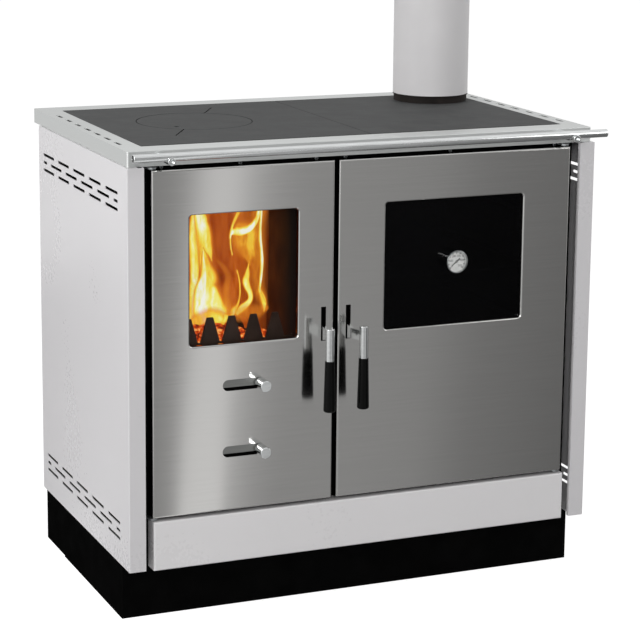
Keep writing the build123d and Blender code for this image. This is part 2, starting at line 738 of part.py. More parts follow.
export_step(ash_pan.part, "parts/ash_pan.step")

# ---------------------------------------------------------------- oven
with BuildPart() as oven_box:
    block((oven_left - body_sheet, frame_back, oven_bottom - body_sheet),
          (oven_right + body_sheet, oven_rear + body_sheet, oven_top + body_sheet))
    block((oven_left, frame_back, oven_bottom), (oven_right, oven_rear, oven_top), mode=Mode.SUBTRACT)
oven_box.part.label = "oven_box"
export_step(oven_box.part, "parts/oven_box.step")

runner_inset = 20.0
with BuildPart() as rack_runners:
    for rise in runner_rises:
        level = oven_bottom + rise
        for wall, inner in ((oven_left, oven_left + runner_reach), (oven_right, oven_right - runner_reach)):
            block((wall, frame_back + runner_inset, level - runner_thickness),
                  (inner, oven_rear - runner_inset, level))
rack_runners.part.label = "rack_runners"
export_step(rack_runners.part, "parts/rack_runners.step")

rack_gap = 3.0
rod_radius = 2.0
rod_rise = 0.4  # rod centres above the frame wire's centre
rack_bend = 12.0
with BuildPart() as oven_rack:
    rack_x0 = oven_left + rack_gap + rack_wire_radius
    rack_x1 = oven_right - rack_gap - rack_wire_radius
    rack_y0 = frame_back + runner_inset
    rack_y1 = oven_rear - runner_inset
    wire_z = oven_bottom + runner_rises[1] + seat_gap + rack_wire_radius
    middle_y = (rack_y0 + rack_y1) / 2
    with BuildSketch(Plane.XY.offset(wire_z)) as rack_loop:
        rect(rack_x0, rack_x1, rack_y0, rack_y1, radius=rack_bend)
    rack_path = rack_loop.sketch.face().outer_wire()
    oven_rack.pending_faces.clear()
    with BuildSketch(Plane(rack_path.location_at(0))):
        Circle(rack_wire_radius)
    sweep(path=rack_path)
    rod_pitch = (rack_x1 - rack_x0) / (rack_rods + 1)
    for i in range(rack_rods):
        with Locations((rack_x0 + (i + 1) * rod_pitch, middle_y, wire_z + rod_rise)):
            Cylinder(rod_radius, rack_y1 - rack_y0 + 1.0, rotation=(90, 0, 0))
oven_rack.part.label = "oven_rack"
export_step(oven_rack.part, "parts/oven_rack.step")

baffle_clear = 12.0
with BuildPart() as smoke_baffle:
    baffle_x = flue_centre[0] - pipe_radius - baffle_clear
    baffle_y = flue_centre[1] - pipe_radius - baffle_clear
    baffle_low = oven_top + body_sheet + seat_gap
    side_x = body_half - body_sheet - seat_gap
    rear_y = body_back - body_sheet - seat_gap
    block((baffle_x, baffle_y, baffle_low), (side_x, rear_y, body_back_top))
    block((baffle_x + body_sheet, baffle_y + body_sheet, baffle_low), (side_x, rear_y, body_back_top),
          mode=Mode.SUBTRACT)
smoke_baffle.part.label = "smoke_baffle"
export_step(smoke_baffle.part, "parts/smoke_baffle.step")

# ---------------------------------------------------------------- hinge brackets and latch keepers
hinge_pins_x = (door_left + hinge_inset, door_right - hinge_inset)
top_bracket_z = (door_top + skirt_bottom - bracket_thickness) / 2
bottom_bracket_z = (door_bottom + drawer_top - bracket_thickness) / 2
with BuildPart() as hinge_brackets:
    for z in (top_bracket_z, bottom_bracket_z):
        with BuildSketch(Plane.XY.offset(z)):
            for x in hinge_pins_x:
                with Locations((x, hinge_y)):
                    Circle(bracket_radius)
                rect(x - bracket_radius, x + bracket_radius, hinge_y, frame_face)
            for x in hinge_pins_x:
                with Locations((x, hinge_y)):
                    Circle(hinge_pin_radius + running_gap, mode=Mode.SUBTRACT)
        extrude(amount=bracket_thickness)
hinge_brackets.part.label = "hinge_brackets"
export_step(hinge_brackets.part, "parts/hinge_brackets.step")

keeper_pin_radius = 3.5
keeper_ear = 3.0
keeper_gap = 6.5  # ear's inner face beside the tongue's middle
with BuildPart() as latch_keepers:
    keeper_z = tongue_top + seat_gap + keeper_pin_radius
    keeper_y = frame_back + 6.0
    for x in (fire_lever_x, oven_lever_x):
        for inner in (-keeper_gap - keeper_ear, keeper_gap):
            block((x + inner, frame_back, keeper_z - 8.0),
                  (x + inner + keeper_ear, frame_back + 12.0, keeper_z + 9.0))
        with Locations((x, keeper_y, keeper_z)):
            Cylinder(keeper_pin_radius, 2 * (keeper_gap + keeper_ear), rotation=(0, 90, 0))
latch_keepers.part.label = "latch_keepers"
export_step(latch_keepers.part, "parts/latch_keepers.step")

# ---------------------------------------------------------------- doors
fire_window = (door_left + fire_window_inset, door_left + fire_window_inset + fire_window_width)
oven_window = (oven_door_left + oven_window_latch_inset, door_right - oven_window_hinge_inset)
fire_ring = (chamber_left - gasket_margin, chamber_right + gasket_margin,
             ash_opening_bottom - gasket_margin, fire_opening_top + gasket_margin)
oven_ring = (oven_left - gasket_margin, oven_right + gasket_margin,
             oven_bottom - gasket_margin, oven_top + gasket_margin)
air_levels = (upper_air_z, lower_air_z)
lever_cut_half = lever_pocket_width / 2
doors = (
    ("fire", door_left, fire_door_right, fire_window, fire_ring, fire_lever_x, hinge_pins_x[0], air_levels),
    ("oven", oven_door_left, door_right, oven_window, oven_ring, oven_lever_x, hinge_pins_x[1], ()),
)
for name, x0, x1, window, ring, lever_x, pin_x, slots in doors:
    toward_hinge = 1 if pin_x < (x0 + x1) / 2 else -1

    with BuildPart() as door_skin:
        block((x0, face, door_bottom), (x1, skin_back, door_top))
        fillet(door_skin.faces().sort_by(Axis.Y)[0].edges(), radius=skin_bend)
        block((x0 + steel_sheet, face + steel_sheet, door_bottom + steel_sheet),
              (x1 - steel_sheet, skin_back, door_top - steel_sheet), mode=Mode.SUBTRACT)
        with BuildSketch(across(skin_back)):
            rect(window[0] - steel_sheet, window[1] + steel_sheet, window_bottom - steel_sheet,
                 window_top + steel_sheet, radius=window_corner + steel_sheet)
        extrude(amount=skin_return - steel_sheet)
        with BuildSketch(across(skin_back)):
            rect(window[0], window[1], window_bottom, window_top, radius=window_corner)
        extrude(amount=skin_return, mode=Mode.SUBTRACT)
        rim_edges = door_skin.faces().sort_by(Axis.Y)[0].inner_wires()[0].edges()
        fillet(rim_edges, radius=skin_bend)
        with BuildSketch(across(skin_back)):
            for z in slots:
                with Locations((air_slot_x, z)):
                    SlotOverall(air_slot_length, air_slot_height)
            rect(lever_x - lever_slot_width / 2, lever_x + lever_slot_width / 2, lever_slot_bottom,
                 lever_slot_bottom + lever_slot_height, radius=1.0)
        extrude(amount=skin_return, mode=Mode.SUBTRACT)
    door_skin.part.label = f"{name}_door_skin"
    export_step(door_skin.part, f"parts/{name}_door_skin.step")

    with BuildPart() as door_frame:
        fx0 = x0 + door_frame_inset
        fx1 = x1 - door_frame_inset
        fz0 = door_bottom + door_frame_inset
        fz1 = door_top - door_frame_inset
        plate_back_y = skin_back + frame_plate
        with BuildSketch(across(door_back)):
            rect(fx0, fx1, fz0, fz1)
        extrude(amount=door_back - skin_back)
        with BuildSketch(across(door_back)):
            rect(fx0 + frame_rib, fx1 - frame_rib, fz0 + frame_rib, fz1 - frame_rib)
            rect(ring[0] - gasket_band, ring[1] + gasket_band, ring[2] - gasket_band, ring[3] + gasket_band,
                 mode=Mode.SUBTRACT)
            rect(*ring)
        extrude(amount=door_back - plate_back_y, mode=Mode.SUBTRACT)
        inward = toward_hinge * (hinge_boss - hinge_inset)
        for z0, z1 in ((fz0, fz0 + hinge_boss), (fz1 - hinge_boss, fz1)):
            block((pin_x - toward_hinge * (hinge_inset - door_frame_inset), skin_back, z0),
                  (pin_x + inward, door_back, z1))
        with BuildSketch(across(door_back)):
            rect(window[0] - glass_margin - glass_slack, window[1] + glass_margin + glass_slack,
                 window_bottom - glass_margin - glass_slack, window_top + glass_margin + glass_slack)
            rect(lever_x - lever_cut_half, lever_x + lever_cut_half, lever_pivot_z - lever_opening_below,
                 lever_slot_bottom + lever_slot_height + 4)
            for z in slots:
                with Locations((air_slot_x, z)):
                    SlotOverall(air_slot_length, air_slot_height * 0.7)
        extrude(amount=door_back - skin_back, mode=Mode.SUBTRACT)
        with Locations((pin_x, hinge_y, fz0), (pin_x, hinge_y, fz1)):
            Cylinder(hinge_pin_radius + running_gap, 2 * (hinge_boss - 4), mode=Mode.SUBTRACT)
    door_frame.part.label = f"{name}_door_frame"
    export_step(door_frame.part, f"parts/{name}_door_frame.step")

    glass_y = skin_back + seat_gap
    with BuildPart() as door_glass:
        with BuildSketch(across(glass_y + glass_thickness)):
            rect(window[0] - glass_margin, window[1] + glass_margin,
                 window_bottom - glass_margin, window_top + glass_margin)
            if name == "oven":
                with Locations((thermometer_x, thermometer_z)):
                    Circle(probe_radius + seat_gap, mode=Mode.SUBTRACT)
        extrude(amount=glass_thickness)
    door_glass.part.label = f"{name}_door_glass"
    export_step(door_glass.part, f"parts/{name}_door_glass.step")

    with BuildPart() as door_gasket:
        side_play = (gasket_band - gasket_width) / 2
        with BuildSketch(across(door_back + gasket_thickness)):
            outer = gasket_band - side_play
            rect(ring[0] - outer, ring[1] + outer, ring[2] - outer, ring[3] + outer, radius=outer)
            rect(ring[0] - side_play, ring[1] + side_play, ring[2] - side_play, ring[3] + side_play,
                 radius=side_play, mode=Mode.SUBTRACT)
        extrude(amount=gasket_thickness)
        fillet(door_gasket.faces().sort_by(Axis.Y)[-1].edges(), radius=gasket_thickness * 0.4)
    door_gasket.part.label = f"{name}_door_gasket"
    export_step(door_gasket.part, f"parts/{name}_door_gasket.step")

    clip_width = 22.0
    clip_lap = 5.0
    clip_foot = 12.0
    clip_thickness = 2.0
    with BuildPart() as glass_clips:
        clip_y = glass_y + glass_thickness + 0.2
        inset = (window[1] - window[0]) / 4
        for x in (window[0] + inset, window[1] - inset):
            for edge, away in ((window_bottom - glass_margin, -1), (window_top + glass_margin, 1)):
                block((x - clip_width / 2, clip_y, edge - away * clip_lap),
                      (x + clip_width / 2, clip_y + clip_thickness, edge + away * clip_foot))
                with Locations((x, clip_y + clip_thickness, edge + away * clip_foot / 2)):
                    Cylinder(3.5, 2.0, rotation=(-90, 0, 0), align=(Align.CENTER, Align.CENTER, Align.MIN))
    glass_clips.part.label = f"{name}_glass_clips"
    export_step(glass_clips.part, f"parts/{name}_glass_clips.step")

    with BuildPart() as hinge_pins:
        pin_depth = hinge_boss - 4
        top_pin = top_bracket_z + bracket_thickness - (fz1 - pin_depth)
        bottom_pin = fz0 + pin_depth - bottom_bracket_z
        with Locations((pin_x, hinge_y, fz1 - pin_depth + top_pin / 2)):
            Cylinder(hinge_pin_radius, top_pin)
        with Locations((pin_x, hinge_y, bottom_bracket_z + bottom_pin / 2)):
            Cylinder(hinge_pin_radius, bottom_pin)
        collar_low = bottom_bracket_z + bracket_thickness + seat_gap
        with Locations((pin_x, hinge_y, (collar_low + door_bottom) / 2)):
            Cylinder(hinge_pin_radius + 2, door_bottom - collar_low)
    hinge_pins.part.label = f"{name}_hinge_pins"
    export_step(hinge_pins.part, f"parts/{name}_hinge_pins.step")

    ear_inner = lever_thickness / 2 + seat_gap
    ear_outer = lever_cut_half + seat_gap
    with BuildPart() as latch_bracket:
        for side in (-1, 1):
            block((lever_x + side * ear_inner, skin_back + frame_plate, lever_pivot_z - 7),
                  (lever_x + side * ear_outer, door_back, lever_pivot_z + 7))
            block((lever_x + side * ear_outer, skin_back + frame_plate, lever_pivot_z - 7),
                  (lever_x + side * (ear_outer + 7.5), skin_back + frame_plate + 2, lever_pivot_z + 7))
        with Locations((lever_x, lever_pivot_y, lever_pivot_z)):
            Cylinder(lever_pin_radius, 2 * ear_outer, rotation=(0, 90, 0))
    latch_bracket.part.label = f"{name}_latch_bracket"
    export_step(latch_bracket.part, f"parts/{name}_latch_bracket.step")

    grip_side = -1 if name == "fire" else 1
    grip_x = lever_x + grip_side * lever_side_step
    grip_y = face - grip_stand_off
    ferrule_top = lever_pivot_z + 18.0
    ferrule_bottom = ferrule_top - ferrule_length
    bend_y = face - 17.0
    with BuildPart() as handle_lever:
        with BuildSketch(Plane.YZ.offset(lever_x - lever_thickness / 2)):
            with BuildLine():
                Polyline(
                    (face + lever_tongue, tongue_top), (lever_pivot_y, tongue_top),
                    (face, lever_pivot_z + lever_half_height - 1.0), (bend_y, lever_pivot_z + 8.0),
                    (bend_y, lever_pivot_z - 10.0), (face, lever_pivot_z - lever_half_height),
                    (lever_pivot_y - 2.0, lever_pivot_z - lever_half_height + 2.0),
                    (lever_pivot_y + 8.0, lever_pivot_z - 8.0), (face + lever_tongue, lever_pivot_z - 4.0),
                    close=True)
            make_face()
            with Locations((lever_pivot_y, lever_pivot_z)):
                Circle(lever_pin_radius + running_gap, mode=Mode.SUBTRACT)
        extrude(amount=lever_thickness)
        with BuildSketch(Plane.XY.offset(lever_pivot_z - 10.0)):
            with BuildLine():
                half = lever_thickness / 2
                Polyline((lever_x - half, bend_y + 2.0), (lever_x - half, bend_y),
                         (grip_x - half, grip_y + 2.0), (grip_x + half, grip_y + 2.0),
                         (lever_x + half, bend_y), (lever_x + half, bend_y + 2.0), close=True)
            make_face()
        extrude(amount=18.0)
        with BuildSketch(Plane.XY.offset(ferrule_bottom)):
            with Locations((grip_x, grip_y)):
                Circle(ferrule_radius)
        extrude(amount=ferrule_length)
        fillet(handle_lever.edges().filter_by(GeomType.CIRCLE).group_by(Axis.Z)[-1], radius=1.0)
    handle_lever.part.label = f"{name}_handle_lever"
    export_step(handle_lever.part, f"parts/{name}_handle_lever.step")

    with BuildPart() as handle_grip:
        with BuildSketch(Plane.XZ):
            with BuildLine():
                Polyline((0, ferrule_bottom), (grip_top_radius, ferrule_bottom),
                         (grip_end_radius, ferrule_bottom - grip_length + 4.0))
                TangentArc((grip_end_radius, ferrule_bottom - grip_length + 4.0),
                           (grip_end_radius - 4.5, ferrule_bottom - grip_length), tangent=(0.02, -1))
                Polyline((grip_end_radius - 4.5, ferrule_bottom - grip_length),
                         (0, ferrule_bottom - grip_length), (0, ferrule_bottom))
            make_face()
        revolve(axis=Axis.Z)
    handle_grip.part = handle_grip.part.moved(Location((grip_x, grip_y, 0)))
    handle_grip.part.label = f"{name}_handle_grip"
    export_step(handle_grip.part, f"parts/{name}_handle_grip.step")

# ---------------------------------------------------------------- air sliders
shutter_front = face + steel_sheet + seat_gap
shutter_back = shutter_front + shutter_thickness
shutter_low = 4.0  # below the slot's middle
shutter_high = 14.0
shutter_end = 12.0  # beyond each end of the slot
guide_lap = 6.0
guide_gap = 0.3
air_travel = air_slot_length - air_slot_height - 2.0
knob_x = air_slot_x + air_slot_length / 2 - air_slot_height / 2
with BuildPart() as air_guides:
    for z in air_levels:
        low = z + shutter_high + guide_gap
        x0 = air_slot_x - air_slot_length / 2 - shutter_end - air_travel
        x1 = air_slot_x + air_slot_length / 2 + shutter_end
        block((x0, face + steel_sheet, low), (x1, skin_back, low + 4))
        block((x0, shutter_back + guide_gap, low - guide_lap), (x1, skin_back, low + 4))
air_guides.part.label = "air_guides"
export_step(air_guides.part, "parts/air_guides.step")

for level_name, z in (("upper", upper_air_z), ("lower", lower_air_z)):
    with BuildPart() as air_shutter:
        block((air_slot_x - air_slot_length / 2 - shutter_end, shutter_front, z - shutter_low),
              (air_slot_x + air_slot_length / 2 + shutter_end, shutter_back, z + shutter_high))
    air_shutter.part.label = f"{level_name}_air_shutter"
    export_step(air_shutter.part, f"parts/{level_name}_air_shutter.step")

    with BuildPart() as air_knob:
        with BuildSketch(across(shutter_front)):
            with Locations((knob_x, z)):
                Circle(knob_neck_radius)
        extrude(amount=shutter_front - face + 1.0)
        with BuildSketch(across(face - 1.0)):
            with Locations((knob_x, z)):
                Circle(knob_radius)
        extrude(amount=knob_length)
        circles = air_knob.edges().filter_by(GeomType.CIRCLE)
        ends = circles.filter_by(lambda e: e.radius > knob_neck_radius + 1)
        chamfer(ends, length=0.8)
    air_knob.part.label = f"{level_name}_air_knob"
    export_step(air_knob.part, f"parts/{level_name}_air_knob.step")

# ---------------------------------------------------------------- oven thermometer
dial_rise = 5.0  # dial face behind the bezel's front
thermometer_front = skin_back - thermometer_depth
dial_y = thermometer_front + dial_rise
arbor_radius = 0.9
with BuildPart() as thermometer_case:
    with BuildSketch(across(skin_back)):
        with Locations((thermometer_x, thermometer_z)):
            Circle(thermometer_radius)
    extrude(amount=thermometer_depth)
    fillet(thermometer_case.edges().group_by(Axis.Y)[0], radius=0.7)
    with BuildSketch(across(dial_y + 1.0)):
        with Locations((thermometer_x, thermometer_z)):
            Circle(thermometer_radius - thermometer_wall)
    extrude(amount=thermometer_depth, mode=Mode.SUBTRACT)
    with BuildSketch(across(skin_back + probe_length)):
        with Locations((thermometer_x, thermometer_z)):
            Circle(probe_radius)
    extrude(amount=probe_length)
thermometer_case.part.label = "thermometer_case"
export_step(thermometer_case.part, "parts/thermometer_case.step")

dial_radius = thermometer_radius - thermometer_wall - 0.1
with BuildPart() as thermometer_dial:
    with BuildSketch(across(dial_y + 1.0)):
        with Locations((thermometer_x, thermometer_z)):
            Circle(dial_radius)
    extrude(amount=1.0)
    with BuildSketch(across(dial_y)):
        with Locations((thermometer_x, thermometer_z)):
            Circle(arbor_radius)
    extrude(amount=2.2)
thermometer_dial.part.label = "thermometer_dial"
export_step(thermometer_dial.part, "parts/thermometer_dial.step")

lens_thickness = 1.2
with BuildPart() as thermometer_lens:
    with BuildSketch(across(thermometer_front + 1.0 + lens_thickness)):
        with Locations((thermometer_x, thermometer_z)):
            Circle(dial_radius)
    extrude(amount=lens_thickness)
thermometer_lens.part.label = "thermometer_lens"
export_step(thermometer_lens.part, "parts/thermometer_lens.step")

pointer_angle = 218.0  # where the long end points at rest, counter-clockwise from +x seen from the front
pointer_tip = 13.0
pointer_tail = 8.5
pointer_hub = 2.2
pointer_thickness = 0.8
with BuildPart() as thermometer_pointer:
    with BuildSketch(across(dial_y - 0.8)):
        with Locations(Location((thermometer_x, thermometer_z), pointer_angle)):
            Circle(pointer_hub)
            Polygon((0, -0.9), (pointer_tip, -0.25), (pointer_tip, 0.25), (0, 0.9), align=None)
            Polygon((0, -0.8), (-pointer_tail, -1.3), (-pointer_tail, 1.3), (0, 0.8), align=None)
            Circle(arbor_radius + running_gap, mode=Mode.SUBTRACT)
    extrude(amount=pointer_thickness)
thermometer_pointer.part.label = "thermometer_pointer"
export_step(thermometer_pointer.part, "parts/thermometer_pointer.step")

# ---------------------------------------------------------------- drawer
with BuildPart() as drawer_front:
    block((-drawer_half, face, drawer_bottom), (drawer_half, face + drawer_front_depth, drawer_top))
    fillet(drawer_front.faces().sort_by(Axis.Y)[0].edges(), radius=drawer_bend)
    block((-drawer_half + side_sheet, face + side_sheet, drawer_bottom + side_sheet),
          (drawer_half - side_sheet, face + drawer_front_depth, drawer_top - side_sheet), mode=Mode.SUBTRACT)
drawer_front.part.label = "drawer_front"
export_step(drawer_front.part, "parts/drawer_front.step")

runner_bar = 18.0
drawer_box_bottom = base_top + 4.0
with BuildPart() as drawer_box:
    z0 = drawer_box_bottom + seat_gap
    y0 = face + side_sheet
    y1 = body_back - body_sheet - drawer_back_gap
    box_half = drawer_half - side_sheet - seat_gap
    block((-box_half, y0, z0), (box_half, y1, z0 + drawer_box_height))
    block((-box_half + drawer_sheet, y0 + drawer_sheet, z0 + drawer_sheet),
          (box_half - drawer_sheet, y1 - drawer_sheet, z0 + drawer_box_height), mode=Mode.SUBTRACT)
drawer_box.part.label = "drawer_box"
export_step(drawer_box.part, "parts/drawer_box.step")

with BuildPart() as drawer_runners:
    for side in (-1, 1):
        outer = side * (drawer_half - side_sheet)
        block((outer, plinth_front_y, base_top),
              (outer - side * runner_bar, body_back - body_sheet - seat_gap, drawer_box_bottom))
drawer_runners.part.label = "drawer_runners"
export_step(drawer_runners.part, "parts/drawer_runners.step")
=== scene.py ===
"""A wood-burning cookstove, dressed for the studio: stainless doors and top frame, white enamelled sides and
drawer, ground steel cooking plates, a flue pipe, and a fire behind the glass. Metres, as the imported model."""

import json
import math

import bmesh
import bpy
from mathutils import Matrix, Vector, noise


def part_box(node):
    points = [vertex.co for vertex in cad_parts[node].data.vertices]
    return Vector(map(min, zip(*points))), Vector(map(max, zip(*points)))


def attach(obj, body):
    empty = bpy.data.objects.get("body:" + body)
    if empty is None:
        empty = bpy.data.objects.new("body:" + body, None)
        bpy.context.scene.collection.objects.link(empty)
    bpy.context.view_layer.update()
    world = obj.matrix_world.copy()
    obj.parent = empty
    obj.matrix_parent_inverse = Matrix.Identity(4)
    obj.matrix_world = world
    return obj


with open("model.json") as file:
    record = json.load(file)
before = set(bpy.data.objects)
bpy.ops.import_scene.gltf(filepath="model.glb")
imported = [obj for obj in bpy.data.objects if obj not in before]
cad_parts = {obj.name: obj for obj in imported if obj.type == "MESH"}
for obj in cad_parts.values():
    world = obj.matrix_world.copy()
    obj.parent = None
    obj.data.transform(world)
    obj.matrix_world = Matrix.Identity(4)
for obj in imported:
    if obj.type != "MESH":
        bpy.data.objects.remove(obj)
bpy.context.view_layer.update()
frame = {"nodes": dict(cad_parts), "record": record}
nodes = frame["nodes"]

MM = 0.001


# ------------------------------------------------------------------ small helpers
def srgb(text):
    """The linear colour of an sRGB hex value."""
    parts = [int(text[i:i + 2], 16) / 255 for i in (1, 3, 5)]
    return (*(p / 12.92 if p <= 0.04045 else ((p + 0.055) / 1.055) ** 2.4 for p in parts), 1.0)


def add(tree, kind, inputs=None, **settings):
    """Adds a node. Settings are its own properties, and inputs are values or links for its sockets."""
    made = tree.nodes.new(kind)
    for name, value in settings.items():
        setattr(made, name, value)
    for socket, value in (inputs or {}).items():
        if isinstance(value, bpy.types.NodeSocket):
            tree.links.new(value, made.inputs[socket])
        else:
            made.inputs[socket].default_value = value
    return made


def material(name, inputs):
    """A new material, its surface shader, and the place on the piece that its patterns are measured from."""
    made = bpy.data.materials.new(name)
    made.use_nodes = True
    tree = made.node_tree
    shader = tree.nodes["Principled BSDF"]
    for socket, value in inputs.items():
        shader.inputs[socket].default_value = value
    place = add(tree, "ShaderNodeTexCoord").outputs["Object"]
    return made, tree, shader, place


def between(tree, pattern, *stops):
    """What a pattern gives, from stops that are a value of the pattern and what it gives there: a hex colour,
    with as many stops as it needs, or a number, with two."""
    if isinstance(stops[0][1], str):
        blend = add(tree, "ShaderNodeValToRGB", {"Fac": pattern})
        points = blend.color_ramp.elements
        while len(points) < len(stops):
            points.new(0.5)
        for point, (position, text) in zip(points, stops):
            point.position = position
            point.color = srgb(text)
        return blend.outputs["Color"]
    (start, first), (end, last) = stops
    blend = add(tree, "ShaderNodeMapRange", {"Value": pattern, "From Min": start, "From Max": end,
                                             "To Min": first, "To Max": last})
    return blend.outputs["Result"]


def grains(tree, place, size, detail=2.0, stretch=(1, 1, 1), roughness=0.5, distortion=0.0):
    """Noise whose patches are about so many millimetres across, longer along an axis by its stretch."""
    scaled = add(tree, "ShaderNodeMapping", {"Vector": place, "Scale": [1000 / size / s for s in stretch]})
    noise_node = add(tree, "ShaderNodeTexNoise", {"Vector": scaled.outputs["Vector"], "Scale": 1.0,
                                                  "Detail": detail, "Roughness": roughness,
                                                  "Distortion": distortion})
    return noise_node.outputs["Fac"]


def dress(tree, shader, looks, relief=None):
    """Puts patterns on a finish: what each of its looks follows, and a relief, given as a pattern and by how
    many millimetres it raises the surface."""
    for look, pattern in looks.items():
        tree.links.new(pattern, shader.inputs[look])
    if relief:
        height, depth_mm = relief
        bump = add(tree, "ShaderNodeBump", {"Height": height, "Distance": depth_mm * MM, "Strength": 1.0})
        tree.links.new(bump.outputs["Normal"], shader.inputs["Normal"])


def piece(name, mesh, body, slot, *finishes):
    """A finished piece of its own mesh, riding on a body."""
    made = bpy.data.objects.new(name, mesh)
    bpy.context.scene.collection.objects.link(made)
    for finish in finishes:
        mesh.materials.append(finish)
    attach(made, body)
    return made


# ------------------------------------------------------------------ finishes
def brushed_steel(name, low, high, roughness, anisotropy, lines, waves=0.0):
    """Ground stainless sheet: short parallel scratches along the grain, so that lights smear across it. The
    real scratches are 0.1 mm apart and are drawn 1.6 mm apart, about the finest that the render shows. Waves
    are how many millimetres the sheet is out of flat, over a hand's width or two."""
    made, tree, shader, place = material(name, {"Metallic": 1.0, "Roughness": roughness,
                                                "Anisotropic": anisotropy, "Anisotropic Rotation": 0.25})
    fine = grains(tree, place, 1.6, 1.0, (70, 1, 1))
    tangent = add(tree, "ShaderNodeTangent", direction_type="RADIAL", axis="Z")
    dress(tree, shader, {
        "Base Color": between(tree, fine, (0.3, low), (0.7, high)),
        "Roughness": between(tree, fine, (0.25, roughness - 0.01), (0.75, roughness + 0.01)),
        "Tangent": tangent.outputs["Tangent"],
    }, relief=(fine, lines))
    if waves:
        scratched = shader.inputs["Normal"].links[0].from_node
        hollow = grains(tree, place, 260.0, 0.0)
        flat = add(tree, "ShaderNodeBump", {"Height": hollow, "Distance": waves * MM, "Strength": 1.0})
        tree.links.new(flat.outputs["Normal"], scratched.inputs["Normal"])
    return made


def stainless_sheet():
    """Brushed stainless steel, 1.5 mm sheet, grain across the doors: grey, with a soft stretched shine."""
    return brushed_steel("brushed_stainless_sheet", "#C1C0BE", "#C4C3C1", 0.13, 0.96, 0.0003, 0.3)


def stainless_frame():
    """The same steel, finer ground and brighter, on the top frame: grain along the front."""
    return brushed_steel("fine_ground_stainless", "#CDCFCE", "#D5D7D6", 0.46, 0.4, 0.002)


def shutter_steel():
    """The air shutters behind the doors' slots: the same steel left dull, and darker with smoke."""
    return brushed_steel("dull_shutter_steel", "#858684", "#8D8E8C", 0.5, 0.5, 0.002)


def polished_steel(name, low, high):
    """Polished stainless tube and turned parts: mirror-like, with faint turning and buffing marks."""
    made, tree, shader, place = material(name, {"Metallic": 1.0, "Roughness": 0.12})
    marks = grains(tree, place, 5.0, 4.0, (8, 1, 1))
    dress(tree, shader, {
        "Base Color": between(tree, marks, (0.3, low), (0.7, high)),
        "Roughness": between(tree, marks, (0.25, 0.08), (0.75, 0.17)),
    }, relief=(marks, 0.003))
    return made


def thermometer_steel():
    """The thermometer's turned case: bright in front of the door's glass, and on the stem in the oven painted
    shade: near black and dull.
    """
    made = polished_steel("turned_steel_with_painted_stem_shade", "#A6A8A8", "#B2B4B4")
    tree = made.node_tree
    shader = tree.nodes["Principled BSDF"]
    place = add(tree, "ShaderNodeTexCoord").outputs["Object"]
    depth = add(tree, "ShaderNodeSeparateXYZ", {"Vector": place}).outputs["Y"]
    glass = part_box("oven_door_glass")[0].y
    # painted shade: behind the glass the stem turns near black and dull, for the shade inside the oven
    painted_stem_shade = between(tree, depth, (glass, 0.0), (glass + 2 * MM, 1.0))
    bright = shader.inputs["Base Color"].links[0].from_socket
    mixed = add(tree, "ShaderNodeMix", {0: painted_stem_shade, 6: bright, 7: srgb("#0A0A0A")}, data_type="RGBA")
    dress(tree, shader, {
        "Base Color": mixed.outputs[2],
        "Metallic": between(tree, painted_stem_shade, (0.0, 1.0), (1.0, 0.0)),
        "Roughness": between(tree, painted_stem_shade, (0.0, 0.12), (1.0, 0.9)),
    })
    return made


def white_enamel(name, low, high):
    """White sprayed stove enamel on steel: even and glossy, with a slight orange peel 6 mm across."""
    made, tree, shader, place = material(name, {"IOR": 1.5, "Roughness": 0.26})
    peel = grains(tree, place, 6.0, 1.0)
    cloud = grains(tree, place, 300.0, 1.0)
    uneven = add(tree, "ShaderNodeMath", {0: cloud, 1: between(tree, peel, (0.25, -0.08), (0.75, 0.08))},
                 operation="ADD").outputs["Value"]
    dress(tree, shader, {
        "Base Color": between(tree, uneven, (0.1, low), (0.9, high)),
        "Roughness": between(tree, uneven, (0.1, 0.26), (0.9, 0.3)),
    }, relief=(peel, 0.002))
    return made


def pipe_enamel():
    """Grey-white satin pipe enamel: softer shine than the sides, with a fine spray texture 2.5 mm across."""
    made, tree, shader, place = material("satin_pipe_enamel", {"IOR": 1.5, "Roughness": 0.42})
    peel = grains(tree, place, 2.5, 2.0)
    cloud = grains(tree, place, 90.0, 2.0)
    dress(tree, shader, {
        "Base Color": between(tree, cloud, (0.3, "#E7E5E6"), (0.7, "#ECEAEB")),
        "Roughness": between(tree, peel, (0.25, 0.38), (0.75, 0.48)),
    }, relief=(peel, 0.02))
    return made


def black_coat():
    """Black heat-proof powder coat on the plinth and body: matte, with a fine grain, drawn 2 mm across."""
    made, tree, shader, place = material("black_powder_coat",
                                         {"IOR": 1.5, "Roughness": 0.6, "Specular IOR Level": 0.0})
    grain = grains(tree, place, 2.0, 2.0)
    scuffs = grains(tree, place, 45.0, 4.0)
    dress(tree, shader, {
        "Base Color": between(tree, scuffs, (0.35, "#0A0A0A"), (0.75, "#101010")),
        "Roughness": between(tree, grain, (0.25, 0.52), (0.75, 0.68)),
    }, relief=(grain, 0.04))
    return made


